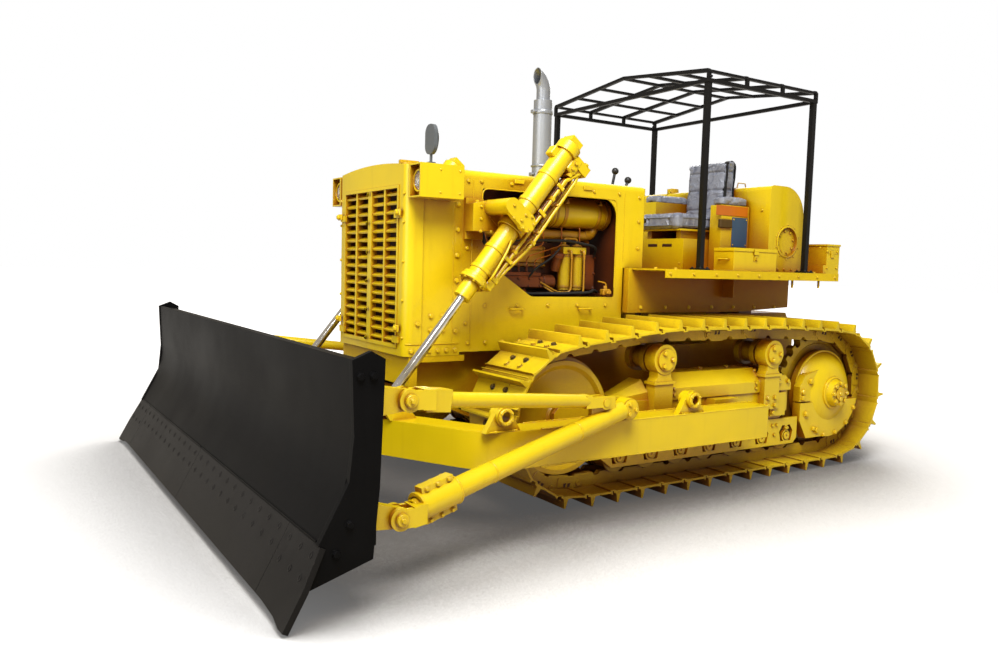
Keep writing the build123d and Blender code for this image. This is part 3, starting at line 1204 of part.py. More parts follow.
def exhaust():
    """Flanged foot, silencer pipe and a slimmer tip that bends forward and is cut off upright."""
    x, y, z = EXHAUST_X, EXHAUST_Y, EXHAUST_BEND_Z
    foot = bar((x, y, HOOD_TOP), (x, y, HOOD_TOP + 85), EXHAUST_R + 12)
    pipe = bar((x, y, HOOD_TOP + 80), (x, y, EXHAUST_NECK_Z), EXHAUST_R)
    neck = bar((x, y, EXHAUST_NECK_Z - 5), (x, y, z), EXHAUST_NECK_R)
    face = Plane(origin=(x, y, z), z_dir=(0, 0, 1)) * (Circle(EXHAUST_NECK_R) - Circle(EXHAUST_NECK_R - 6))
    elbow = revolve(face, axis=Axis((x + EXHAUST_BEND_R, y, z), (0, 1, 0)), revolution_arc=76)
    cut_x = x + EXHAUST_NECK_R + 8
    elbow -= box(cut_x, cut_x + 200, y - 80, y + 80, z - 100, z + 300)
    return foot + [pipe, neck, elbow]


node("exhaust_pipe", exhaust())


def dashboard():
    """Panel that closes the hood's rear, with the instrument cowl."""
    panel = box(HOOD_REAR - 12, HOOD_REAR, -HOOD_HALF + 10, HOOD_HALF - 10, DECK_TOP, HOOD_TOP - 12)
    cowl = side_plate([
        (HOOD_REAR - 12, HOOD_TOP - 265), (HOOD_REAR - 12, HOOD_TOP - 30), (HOOD_REAR - 60, HOOD_TOP - 45),
        (HOOD_REAR - 120, HOOD_TOP - 245),
    ], -330, 330)
    return panel + cowl


node("dashboard", dashboard())


# ---------------------------------------------------------------- deck
def floor_platform():
    """Floor plate on its bearer, with pillars down to the transmission case and legs on the rails."""
    under, half = DECK_TOP - FENDER_PLATE, FENDER_INNER - 2
    floor = box(FENDER_REAR, HOOD_REAR - 12, -half, half, under, DECK_TOP)
    bearer = box(TANK_X[0] - 200, HOOD_REAR - 60, -HULL_HALF, HULL_HALF, DECK_TOP - 50, under)
    supports = []
    for x in (TANK_X[0] + 100, TANK_X[1] + 80):
        supports.append(box(x, x + 160, -HULL_HALF + 30, HULL_HALF - 30, CASE_TOP, DECK_TOP - 45))
    for y in (-HULL_HALF, HULL_HALF - 60):
        supports.append(box(HOOD_REAR - 70, HOOD_REAR + 40, y, y + 60, RAIL_TOP, under))
    return floor + [bearer, *supports]


node("floor_platform", floor_platform())


def fender():
    """Fender plate with its folded edge, and the wall below it with its front flange."""
    under = DECK_TOP - FENDER_PLATE
    deck = box(FENDER_REAR, FENDER_FRONT, FENDER_INNER, FENDER_EDGE, under, DECK_TOP)
    lip = box(FENDER_REAR, FENDER_FRONT, FENDER_EDGE - FENDER_PLATE, FENDER_EDGE, DECK_TOP - FENDER_LIP,
              DECK_TOP)
    rear_lip = box(FENDER_REAR, FENDER_REAR + FENDER_PLATE, FENDER_INNER, FENDER_EDGE,
                   DECK_TOP - FENDER_LIP, DECK_TOP)
    wall_front = FENDER_FRONT + 30
    wall = side_plate([
        (FENDER_REAR + 170, DECK_TOP), (FENDER_REAR + 170, WALL_FOOT + 35), (TANK_X[1] + 130, WALL_FOOT),
        (wall_front, WALL_FOOT), (wall_front, DECK_TOP),
    ], FENDER_INNER, FENDER_INNER + 10)
    flange = box(wall_front - 10, wall_front, HOOD_HALF + 0.3, FENDER_INNER + 1, WALL_FOOT, DECK_TOP)
    post_gap = (POST_X[1] - POST_X[0]) / 2
    studs = []
    for x in (FENDER_REAR + 200, FENDER_REAR + 534):
        studs.append(bar((x, FENDER_EDGE - 45, DECK_TOP - FENDER_LIP - 60),
                         (x, FENDER_EDGE - 45, DECK_TOP - 5), 9))
    gusset_x = POST_X[0] + post_gap
    gusset = side_plate([
        (gusset_x - 5, under + 1), (gusset_x + 5, under + 1), (gusset_x + 5, WALL_FOOT + 120),
        (gusset_x - 5, WALL_FOOT + 120),
    ], FENDER_INNER + 9, FENDER_INNER + 120)
    return deck + [lip, rear_lip, wall, flange, gusset, *studs]


left_fender = fender()
node("fender_left", left_fender)
node("fender_right", mirrored(left_fender))


def fuel_tank():
    """Tank across the deck behind the seat, rounded at its top rear, with a pressed round in each end."""
    x_low, x_high = TANK_X
    corners = [(x_low, -TANK_HALF, DECK_TOP), (x_high, -TANK_HALF, DECK_TOP), (x_high, -TANK_HALF, TANK_TOP),
               (x_low, -TANK_HALF, TANK_TOP)]
    line = FilletPolyline(*corners, radius=[0, 0, 40, TANK_ROUND], close=True)
    body = extrude(make_face(line), amount=2 * TANK_HALF, dir=(0, 1, 0))
    middle_x, middle_z = (x_low + x_high) / 2 - 20, DECK_TOP + 250
    for side in (1, -1):
        low, high = sorted((side * (TANK_HALF - 18), side * (TANK_HALF + 1)))
        body -= cross_pin(middle_x, middle_z, low, high, TANK_PRESSING_R)
    cap_x, cap_y = x_low + TANK_ROUND + 75, -420
    cap = bar((cap_x, cap_y, TANK_TOP - 5), (cap_x, cap_y, TANK_TOP + 45), 52)
    return body + cap


node("fuel_tank", fuel_tank())


def rear_box():
    """Battery box at the rear of a fender, with its foot on the deck and an overhanging lid."""
    length, inner, outer, top = BATTERY_BOX
    rear = FENDER_REAR - length
    shell = box(rear, FENDER_REAR - 1, inner, outer, DECK_TOP - 5, top - 14)
    foot = box(rear, FENDER_REAR + 40, inner, outer, DECK_TOP, DECK_TOP + 70)
    lid = box(rear - 6, FENDER_REAR + 6, inner - 6, outer + 6, top - 16, top)
    return shell + [foot, lid]


node("rear_boxes", both(rear_box()))


# ---------------------------------------------------------------- operator's place
def seat_base():
    """Box under the seat, its slide rails and the seat pan."""
    x_low, x_high = SEAT_X
    half = SEAT_HALF + 10
    base = box(x_low, x_high, SEAT_Y - half, SEAT_Y + half, DECK_TOP, SEAT_PAN_Z - 80)
    slides = []
    for y in (SEAT_Y - 170, SEAT_Y + 170):
        slides.append(box(x_low + 40, x_high - 40, y - 25, y + 25, SEAT_PAN_Z - 85, SEAT_PAN_Z - 10))
    pan = box(x_low, x_high, SEAT_Y - half + 40, SEAT_Y + half - 40, SEAT_PAN_Z - 15, SEAT_PAN_Z)
    return base + [*slides, pan]


node("seat_base", seat_base())
SOFT_FOOT = SEAT_PAN_Z + SEAT_GAP
cushion = box(*CUSHION_X, SEAT_Y - SEAT_HALF, SEAT_Y + SEAT_HALF, SOFT_FOOT, CUSHION_TOP)
node("seat_cushion", fillet(cushion.edges().filter_by(Axis.Z), 60))
back_front = CUSHION_X[0] - 2
back = side_plate([
    (back_front - 98, SOFT_FOOT), (back_front, SOFT_FOOT), (back_front, CUSHION_TOP + 20),
    (back_front - 38, BACK_TOP), (back_front - 120, BACK_TOP),
], SEAT_Y - SEAT_HALF, SEAT_Y + SEAT_HALF)
node("seat_back", back)

# Armrest consoles: x from and to, inner and outer side, top, and the pad's thickness.
ARMRESTS = [
    (-1365.0, -1040.0, SEAT_Y + SEAT_HALF + ARMREST_GAP, SEAT_Y + SEAT_HALF + 140, 2080.0, 60.0),
    (-1365.0, -960.0, SEAT_Y - SEAT_HALF - 200, SEAT_Y - SEAT_HALF - ARMREST_GAP, 2130.0, 55.0),
]


def armrests():
    """A console on each side of the seat, and the pad that lies on it."""
    stands, pads = [], []
    for x_low, x_high, y_low, y_high, top, thick in ARMRESTS:
        stands.append(box(x_low, x_high, y_low, y_high, DECK_TOP, top))
        pad = box(x_low, x_high - 10, y_low + 2, y_high - 2, top + SEAT_GAP, top + thick)
        pads.append(fillet(pad.edges().filter_by(Axis.Z), 30))
    return Compound(children=stands), Compound(children=pads)


consoles, pads = armrests()
node("consoles", consoles)
node("armrest_pads", pads)


def control_levers():
    """Two hand levers from a slotted box on the floor, each with its knob."""
    stand = box(*LEVER_BOX_X, *LEVER_BOX_Y, DECK_TOP, LEVER_BOX_TOP)
    foot_x = sum(LEVER_BOX_X) / 2
    pieces = []
    # columns: how far the knob stands behind the lever's foot, y of the lever, z of the knob
    for lean, y, knob_z in ((140, -260, 2380), (200, -160, 2300)):
        pieces.append(bar((foot_x, y, LEVER_BOX_TOP - 10), (foot_x - lean, y, knob_z), 12))
        pieces.append(Pos(foot_x - lean, y, knob_z) * Sphere(30))
    return stand + pieces


node("control_levers", control_levers())


# ---------------------------------------------------------------- toolbox
HINGE_Z = TOOLBOX_TOP - 4
HINGE_Y = TOOLBOX_Y[0] - HINGE_R - 3
LID_LOW = TOOLBOX_TOP - LID_PLAY + SEAT_GAP
FIXED_KNUCKLES = (TOOLBOX_X[0] + KNUCKLE, TOOLBOX_X[1] - 2 * KNUCKLE)


def toolbox():
    """Open sheet box on the left fender, with the fixed knuckles of its hinge."""
    shell = box(*TOOLBOX_X, *TOOLBOX_Y, DECK_TOP, TOOLBOX_TOP - LID_PLAY)
    shell -= box(TOOLBOX_X[0] + BOX_SHEET, TOOLBOX_X[1] - BOX_SHEET, TOOLBOX_Y[0] + BOX_SHEET,
                 TOOLBOX_Y[1] - BOX_SHEET, DECK_TOP + BOX_SHEET, TOOLBOX_TOP + 1)
    pieces = []
    for x in FIXED_KNUCKLES:
        pieces.append(bar((x, HINGE_Y, HINGE_Z), (x + KNUCKLE, HINGE_Y, HINGE_Z), HINGE_R))
        pieces.append(box(x, x + KNUCKLE, HINGE_Y - 2, TOOLBOX_Y[0] + 1, HINGE_Z - 60, HINGE_Z - 4))
    middle = sum(TOOLBOX_X) / 2
    staple = box(middle - 14, middle + 14, TOOLBOX_Y[1] - 1, TOOLBOX_Y[1] + 8, TOOLBOX_TOP - 90,
                 TOOLBOX_TOP - 60)
    body = shell + [*pieces, staple]
    return body - bar((TOOLBOX_X[0], HINGE_Y, HINGE_Z), (TOOLBOX_X[1], HINGE_Y, HINGE_Z),
                      HINGE_PIN_R + PIN_PLAY)


def toolbox_lid():
    """Sheet lid with a skirt on three sides, its hasp, and its knuckles with the hinge pins."""
    over = LID_SHEET + LID_SIDE_PLAY
    x_low, x_high = TOOLBOX_X[0] - over, TOOLBOX_X[1] + over
    y_low, y_high = TOOLBOX_Y[0], TOOLBOX_Y[1] + over
    skirt = (LID_LOW - LID_SKIRT, LID_LOW + 1)
    plate = box(x_low, x_high, y_low, y_high, LID_LOW, LID_LOW + LID_SHEET)
    skirts = [
        box(x_low, x_high, y_high - LID_SHEET, y_high, *skirt),
        box(x_low, x_low + LID_SHEET, y_low, y_high, *skirt),
        box(x_high - LID_SHEET, x_high, y_low, y_high, *skirt),
    ]
    middle = sum(TOOLBOX_X) / 2
    hasp = box(middle - 16, middle + 16, y_high - 1, y_high + 4, LID_LOW - 52, LID_LOW - 2)
    pieces = []
    for x in (FIXED_KNUCKLES[0] + KNUCKLE + 1, FIXED_KNUCKLES[1] - KNUCKLE - 1):
        pieces.append(bar((x, HINGE_Y, HINGE_Z), (x + KNUCKLE, HINGE_Y, HINGE_Z), HINGE_R))
        pieces.append(box(x, x + KNUCKLE, HINGE_Y, y_low + 4, LID_LOW, LID_LOW + LID_SHEET))
    for x in (FIXED_KNUCKLES[0] + 1, FIXED_KNUCKLES[1] - 5):
        pieces.append(bar((x, HINGE_Y, HINGE_Z), (x + KNUCKLE + 5, HINGE_Y, HINGE_Z), HINGE_PIN_R))
    return plate + [*skirts, hasp, *pieces]


node("toolbox", toolbox())
node("toolbox_lid", toolbox_lid())


# ---------------------------------------------------------------- canopy
def canopy_posts():
    """Four square posts, each on a foot plate bolted to the fender."""
    posts = []
    for x in POST_X:
        half = POST_TUBE / 2
        foot = box(x - POST_FOOT, x + POST_FOOT, POST_Y - POST_FOOT, POST_Y + POST_FOOT, DECK_TOP,
                   DECK_TOP + 12)
        post = box(x - half, x + half, POST_Y - half, POST_Y + half, DECK_TOP + 10, ROOF_LOW - ROOF_BAR / 2)
        posts.append((post + foot).solid())
    return Compound(children=posts)


node("canopy_posts", both(canopy_posts()))


def canopy_roof():
    """Open roof grid: a lower rectangle, upright cheeks with bent ribs over it, and lengthwise bars."""
    half_bar = ROOF_BAR / 2
    side_y = ROOF_HALF - half_bar
    ends = (ROOF_X[0] + half_bar, ROOF_X[1] - half_bar)
    rails = []
    for y in (-side_y, side_y):
        rails.append(square_bar((ROOF_X[0], y, ROOF_LOW), (ROOF_X[1], y, ROOF_LOW), ROOF_BAR, ROOF_BAR))
    for x in ends:
        rails.append(square_bar((x, -ROOF_HALF, ROOF_LOW), (x, ROOF_HALF, ROOF_LOW), ROOF_BAR, ROOF_BAR))
    thick = ROOF_BAR * 0.8
    for i in range(ROOF_RIBS):
        x = ends[0] + (ends[1] - ends[0]) * i / (ROOF_RIBS - 1)
        rib = [
            (ROOF_HALF, ROOF_LOW), (ROOF_HALF, EAVE_Z - 20), (ROOF_HALF - 14, EAVE_Z), (0, RIDGE_Z),
            (-ROOF_HALF + 14, EAVE_Z), (-ROOF_HALF, EAVE_Z - 20), (-ROOF_HALF, ROOF_LOW),
            (-ROOF_HALF + thick, ROOF_LOW), (-ROOF_HALF + thick, EAVE_Z - thick - 6), (0, RIDGE_Z - thick),
            (ROOF_HALF - thick, EAVE_Z - thick - 6), (ROOF_HALF - thick, ROOF_LOW),
        ]
        rails.append(front_plate(rib, x - half_bar, x + half_bar))
    eave_y = ROOF_HALF - 18
    for i in range(-ROOF_PURLINS, ROOF_PURLINS + 1):
        share = i / ROOF_PURLINS
        z = RIDGE_Z - (RIDGE_Z - EAVE_Z) * abs(share) - 17
        rails.append(square_bar((ends[0], eave_y * share, z), (ends[1], eave_y * share, z), 26, 20))
    return rails[0] + rails[1:]


node("canopy_roof", canopy_roof())
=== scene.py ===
# %% [markdown]
# # Dressing a crawler bulldozer
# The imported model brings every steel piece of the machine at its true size. This lesson gives those
# pieces their enamel, wear and shade, adds the bolts, pipes, welds and cushions that a maker would
# fit, and sets up a plain studio. Everything is in metres: +X points towards the blade, +Y to the
# machine's left and +Z up.

# %% Load the frame
import math

import bpy
import numpy as np
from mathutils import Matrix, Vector
from mathutils.bvhtree import BVHTree


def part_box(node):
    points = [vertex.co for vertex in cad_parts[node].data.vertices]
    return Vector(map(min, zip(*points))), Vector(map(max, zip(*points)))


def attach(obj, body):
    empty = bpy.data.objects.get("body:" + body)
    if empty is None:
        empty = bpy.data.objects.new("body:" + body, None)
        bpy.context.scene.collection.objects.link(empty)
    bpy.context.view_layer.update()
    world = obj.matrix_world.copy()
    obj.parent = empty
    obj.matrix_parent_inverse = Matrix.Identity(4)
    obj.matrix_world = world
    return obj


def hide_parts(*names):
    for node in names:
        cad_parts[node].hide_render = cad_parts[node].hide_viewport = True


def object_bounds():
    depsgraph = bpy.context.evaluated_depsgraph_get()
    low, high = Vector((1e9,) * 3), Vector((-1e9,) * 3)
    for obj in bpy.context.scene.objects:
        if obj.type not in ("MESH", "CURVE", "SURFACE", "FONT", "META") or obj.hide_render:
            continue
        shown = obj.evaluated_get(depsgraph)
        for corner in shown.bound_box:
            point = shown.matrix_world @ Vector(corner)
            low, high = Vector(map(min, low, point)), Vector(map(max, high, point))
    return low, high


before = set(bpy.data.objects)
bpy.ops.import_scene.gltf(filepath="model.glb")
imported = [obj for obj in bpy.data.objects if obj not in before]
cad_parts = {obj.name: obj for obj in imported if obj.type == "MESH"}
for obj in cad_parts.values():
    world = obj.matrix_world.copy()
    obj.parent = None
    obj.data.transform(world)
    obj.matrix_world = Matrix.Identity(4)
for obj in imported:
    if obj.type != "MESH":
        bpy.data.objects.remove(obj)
CAD_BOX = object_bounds()
rng = np.random.default_rng(7)
scene = bpy.context.scene

# %% [markdown]
# ## Camera
# The camera stands ahead of the machine's left corner, a little above the blade, and looks back and
# slightly down. A wide lens close by gives the strong taper from the blade to the tracks. Its three
# axes are worked out as directions, so that no angle convention has to be remembered.

# %% Camera
DATUM = (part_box("sprockets")[0].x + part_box("sprockets")[1].x) / 2 + 1.850
CAMERA_PLACE = (DATUM + 4.106, 5.3259, 1.5403)
CAMERA_YAW, CAMERA_PITCH, CAMERA_ROLL = (math.radians(angle) for angle in (237.200, -4.524, 1.608))
CAMERA_LENS = 30.02


def aim_camera(place, yaw, pitch, roll, lens):
    """Camera from its heading, dip and lean.

    Forward is (cos yaw cos pitch, sin yaw cos pitch, sin pitch). Right lies level, up is the cross
    product of right and forward, and the lean turns right and up together about forward.
    """
    forward = np.array([math.cos(yaw) * math.cos(pitch), math.sin(yaw) * math.cos(pitch), math.sin(pitch)])
    level = np.array([math.sin(yaw), -math.cos(yaw), 0.0])
    above = np.cross(level, forward)
    right = math.cos(roll) * level + math.sin(roll) * above
    up = -math.sin(roll) * level + math.cos(roll) * above
    matrix = np.eye(4)
    matrix[:3, 0], matrix[:3, 1], matrix[:3, 2], matrix[:3, 3] = right, up, -forward, place
    data = bpy.data.cameras.new("camera")
    data.lens, data.sensor_width, data.clip_end = lens, 36.0, 200.0
    camera = bpy.data.objects.new("camera", data)
    scene.collection.objects.link(camera)
    camera.matrix_world = matrix.T
    scene.camera = camera
    return camera


camera = aim_camera(CAMERA_PLACE, CAMERA_YAW, CAMERA_PITCH, CAMERA_ROLL, CAMERA_LENS)
print("camera at", CAMERA_PLACE)

# %% [markdown]
# ## Small helpers for shader trees
# Materials are easier to read when one call makes a node, sets it and wires it. `place` does that:
# an input that is a socket becomes a link, and any other value is written on the socket itself.

# %% Shader helpers


def srgb(code):
    """Linear colour from a six-digit screen colour, by the usual two-part curve."""
    channels = np.array([int(code[i:i + 2], 16) for i in (0, 2, 4)]) / 255.0
    linear = np.where(channels <= 0.04045, channels / 12.92, ((channels + 0.055) / 1.055) ** 2.4)
    return (*linear.tolist(), 1.0)


def place(tree, kind, inputs=None, **settings):
    """Adds a node to the tree, sets its options, and wires or fills the named inputs."""
    node = tree.nodes.new(kind)
    for option, value in settings.items():
        setattr(node, option, value)
    for name, value in (inputs or {}).items():
        socket = node.inputs[name]
        if isinstance(value, bpy.types.NodeSocket):
            tree.links.new(value, socket)
        else:
            socket.default_value = value
    return node


def noise(tree, where, scale, detail, **more):
    """Soft noise between 0 and 1 at a place, of the given scale and number of finer layers."""
    inputs = {"Vector": where, "Scale": scale, "Detail": detail, **more}
    return place(tree, "ShaderNodeTexNoise", inputs).outputs["Fac"]


def blend_colours(tree, factor, first, second, mode="MIX"):
    """Colour that goes from first to second as factor goes from 0 to 1."""
    node = tree.nodes.new("ShaderNodeMix")
    node.data_type, node.blend_type = "RGBA", mode
    for index, value in ((0, factor), (6, first), (7, second)):
        if isinstance(value, bpy.types.NodeSocket):
            tree.links.new(value, node.inputs[index])
        else:
            node.inputs[index].default_value = value
    return node.outputs[2]


def ramp(tree, value, low, high, to_low=0.0, to_high=1.0):
    """Value moved from low..high to to_low..to_high along a smooth S, and held at the ends."""
    node = place(tree, "ShaderNodeMapRange", {"Value": value, "From Min": low, "From Max": high,
                                              "To Min": to_low, "To Max": to_high},
                 interpolation_type="SMOOTHSTEP")
    return node.outputs["Result"]


def maths(tree, operation, first, second=0.0):
    """One sum, product or other operation on two values."""
    return place(tree, "ShaderNodeMath", {0: first, 1: second}, operation=operation).outputs[0]


def group_of(name, inputs, outputs, fill):
    """Node group with named sockets. fill(tree, given) returns the sockets or values to put out."""
    tree = bpy.data.node_groups.new(name, "ShaderNodeTree")
    for label, kind, value in inputs:
        socket = tree.interface.new_socket(label, in_out="INPUT", socket_type="NodeSocket" + kind)
        if value is not None:
            socket.default_value = value
    for label, kind in outputs:
        tree.interface.new_socket(label, in_out="OUTPUT", socket_type="NodeSocket" + kind)
    given = tree.nodes.new("NodeGroupInput").outputs
    put_out = tree.nodes.new("NodeGroupOutput").inputs
    for label, socket in fill(tree, given).items():
        tree.links.new(socket, put_out[label])
    return tree


def use(tree, group, **inputs):
    """Places a node group in a tree. Names may be written with _ for a space."""
    node = tree.nodes.new("ShaderNodeGroup")
    node.node_tree = group
    for label, value in inputs.items():
        socket = node.inputs[label.replace("_", " ")]
        if isinstance(value, bpy.types.NodeSocket):
            tree.links.new(value, socket)
        else:
            socket.default_value = value
    return node.outputs


# %% [markdown]
# ## Effects that several finishes share
# Brushed and sprayed enamel is never one flat colour. It thins on edges, has a faint orange-peel, and dulls
# where dust settles, and its corners and hollows are painted darker as painted shade. Each effect is a node
# group that only puts out masks and heights, so every finish can mix them with its own colours.

# %% Shared effects


def fill_film(tree, given):
    """Sprayed film: a broad tone from soft noise, a streak tone from noise drawn out downwards, and
    a height from fine noise for the orange-peel."""
    broad = noise(tree, given["Place"], given["Patches"], 3.0, Roughness=0.55)
    drawn = place(tree, "ShaderNodeMapping", {"Vector": given["Place"], "Scale": (9.0, 9.0, 0.9)})
    runs = noise(tree, drawn.outputs[0], 2.2, 4.0)
    return {"Tone": broad, "Runs": runs, "Height": noise(tree, given["Place"], given["Peel"], 2.0)}


def fill_corner_shade(tree, given):
    """Painted shade for corners: the share of the half sphere above a point that is shut in within the given
    reach, as a mask for darkening where shade falls.
    """
    seen = place(tree, "ShaderNodeAmbientOcclusion", {"Distance": given["Reach"]}, samples=6)
    shut = maths(tree, "SUBTRACT", 1.0, seen.outputs["AO"])
    return {"Mask": ramp(tree, shut, given["Start"], given["Full"])}


def fill_edge(tree, given):
    """Edges: how far the normal of a slightly rounded copy leans from the true one, broken by noise."""
    rounded = place(tree, "ShaderNodeBevel", {"Radius": given["Radius"]}, samples=4)
    true = place(tree, "ShaderNodeNewGeometry").outputs["True Normal"]
    along = place(tree, "ShaderNodeVectorMath", {0: rounded.outputs[0], 1: true}, operation="DOT_PRODUCT")
    lean = maths(tree, "SUBTRACT", 1.0, along.outputs["Value"])
    chips = noise(tree, given["Place"], given["Chips"], 5.0, Roughness=0.7)
    broken = maths(tree, "MULTIPLY", ramp(tree, lean, 0.01, 0.16),
                   ramp(tree, chips, given["Chip Start"], 0.72))
    return {"Mask": broken, "Normal": rounded.outputs[0]}


def fill_dust(tree, given):
    """Dust: the share by which a face looks up, broken into drifts by two sizes of noise."""
    normal = place(tree, "ShaderNodeNewGeometry").outputs["Normal"]
    upward = place(tree, "ShaderNodeSeparateXYZ", {0: normal}).outputs["Z"]
    drifts = noise(tree, given["Place"], 5.0, 7.0, Roughness=0.68)
    lying = maths(tree, "MULTIPLY", ramp(tree, upward, 0.2, 0.95), ramp(tree, drifts, 0.38, 0.7))
    return {"Mask": maths(tree, "MULTIPLY", lying, given["Amount"])}


PLACE = ("Place", "Vector", None)
film_group = group_of("sprayed_film", [PLACE, ("Patches", "Float", 1.4), ("Peel", "Float", 260.0)],
                      [("Tone", "Float"), ("Runs", "Float"), ("Height", "Float")], fill_film)
corner_shade_group = group_of("painted_corner_shade",
                      [("Reach", "Float", 0.12), ("Start", "Float", 0.25), ("Full", "Float", 0.9)],
                      [("Mask", "Float")], fill_corner_shade)
edge_group = group_of("worn_edges",
                      [PLACE, ("Radius", "Float", 0.004), ("Chips", "Float", 30.0),
                       ("Chip Start", "Float", 0.5)],
                      [("Mask", "Float"), ("Normal", "Vector")], fill_edge)
dust_group = group_of("settled_dust", [PLACE, ("Amount", "Float", 0.3)], [("Mask", "Float")], fill_dust)
print("shared effects:", [g.name for g in bpy.data.node_groups])

# %% [markdown]
# ## Finishes
# The machine is freshly repainted, so nearly everything wears one bright enamel: bolts, pipes, the chains and
# even the engine's covers. What differs is age and gloss. One function therefore makes every enamel, from its
# colour, the colour of its painted shade in corners and hollows, and how chipped, dusty and glossy it is.

# %% Finishes
MATERIALS = {}


def new_material(name):
    """Material with an empty tree: returns it, the tree, the shader and the Object coordinates."""
    material = bpy.data.materials.new(name)
    material.use_nodes = True
    tree = material.node_tree
    tree.nodes.clear()
    shader = tree.nodes.new("ShaderNodeBsdfPrincipled")
    output = tree.nodes.new("ShaderNodeOutputMaterial")
    tree.links.new(shader.outputs[0], output.inputs["Surface"])
    coordinates = tree.nodes.new("ShaderNodeTexCoord").outputs["Object"]
    MATERIALS[name] = material
    return material, tree, shader, coordinates


def enamel(name, colour, runs_and_shade_colour, chip="6b5a30", gloss=0.32, coat=0.35, tone=0.10, reach=0.14, painted_shade_most=0.9,
           chips=0.5, wear=0.5, dust=0.25, dust_colour="c39a2e", peel=0.0006, radius=0.004, metal=0.0,
           shine=0.5, start=0.25, full=0.9):
    """Enamel over steel. Colour goes to the shade colour in corners and hollows, as painted shade, and partly
    to the same colour along the runs. It goes lighter and darker with the film, to chip on broken edges, and
    to dust on faces that look up. The peel is a bump a fraction of a millimetre high.
    """
    material, tree, shader, here = new_material(name)
    film = use(tree, film_group, Place=here)
    painted_shade_mask = use(tree, corner_shade_group, Reach=reach, Start=start, Full=full)["Mask"]
    edge = use(tree, edge_group, Place=here, Radius=radius, Chip_Start=chips)
    settled = use(tree, dust_group, Place=here, Amount=dust)["Mask"]
    pale = tuple(min(1.0, c * (1 + tone)) for c in srgb(colour)[:3]) + (1.0,)
    dull = tuple(c * (1 - tone) for c in srgb(colour)[:3]) + (1.0,)
    base = blend_colours(tree, ramp(tree, film["Tone"], 0.3, 0.7), dull, pale)
    base = blend_colours(tree, ramp(tree, film["Runs"], 0.52, 0.75, 0.0, tone), base, srgb(runs_and_shade_colour))
    # Painted shade: where the corner mask is high, the colour turns towards the dark shade colour, as if
    # shade fell there.
    base = blend_colours(tree, maths(tree, "MULTIPLY", painted_shade_mask, painted_shade_most), base, srgb(runs_and_shade_colour))
    base = blend_colours(tree, settled, base, srgb(dust_colour))
    base = blend_colours(tree, maths(tree, "MULTIPLY", edge["Mask"], wear), base, srgb(chip))
    rough = maths(tree, "ADD", ramp(tree, film["Tone"], 0.25, 0.75, gloss - 0.05, gloss + 0.07),
                  maths(tree, "MULTIPLY", settled, 0.4))
    bump = place(tree, "ShaderNodeBump", {"Height": film["Height"], "Distance": peel, "Strength": 0.6,
                                          "Normal": edge["Normal"]})
    for socket, value in (("Base Color", base), ("Roughness", rough), ("Normal", bump.outputs[0])):
        tree.links.new(value, shader.inputs[socket])
    shader.inputs["Metallic"].default_value = metal
    shader.inputs["Coat Weight"].default_value = coat
    shader.inputs["Specular IOR Level"].default_value = shine
    shader.inputs["Coat Roughness"].default_value = 0.12
    return material


enamel("yellow_paint", "f6d70f", "903a02", coat=0.18, reach=0.42, start=0.14, full=0.68, dust=0.05, tone=0.06)
enamel("bolt_yellow", "f2ce12", "843a05", coat=0.12, reach=0.05, start=0.2, full=0.8, dust=0.08, tone=0.06)
enamel("hull_paint", "f4d210", "8e3805", gloss=0.40, coat=0.05, reach=0.75, start=0.30, full=0.62,
       dust=0.04, tone=0.07, shine=0.3)
enamel("cast_paint", "e6bd18", "86380a", gloss=0.45, coat=0.2, tone=0.14, wear=0.5, peel=0.0016, dust=0.12,
       reach=0.3, start=0.12, full=0.7)
enamel("track_paint", "f0d216", "6a2706", chip="4a3a26", gloss=0.40, coat=0.08, reach=0.55, start=0.30,
       full=0.62, chips=0.46, wear=0.7, dust=0.14, dust_colour="a98c4a", tone=0.14)
enamel("engine_cover", "d39a14", "541f05", gloss=0.36, coat=0.3, reach=0.34, start=0.16, full=0.8, wear=0.3,
       dust=0.1)
enamel("panel_orange", "cf6f14", "5a2708", gloss=0.4, wear=0.2, dust=0.08)
enamel("bolt_dark", "55401c", "1c0f05", chip="8a8378", gloss=0.45, coat=0.05, wear=0.7, metal=0.4, tone=0.3)
enamel("black_paint", "0f0f10", "070708", chip="4d4a45", gloss=0.40, coat=0.0, tone=0.30, wear=0.22,
       dust=0.06, dust_colour="33312e", painted_shade_most=0.7, shine=0.04)
enamel("edge_steel", "1f1e1e", "0e0d0d", chip="6a665f", gloss=0.40, coat=0.0, tone=0.34, wear=0.5,
       dust=0.12, dust_colour="4a4640", shine=0.08)
enamel("canopy_black", "0f0f10", "060607", chip="4b4a48", gloss=0.38, coat=0.0, wear=0.15, dust=0.04,
       dust_colour="2c2b29", radius=0.002, shine=0.25)
enamel("engine_iron", "8e430c", "240b05", chip="30302e", gloss=0.5, coat=0.1, tone=0.3, reach=0.34,
       start=0.14, full=0.74, wear=0.7, dust=0.12, dust_colour="4e3820")
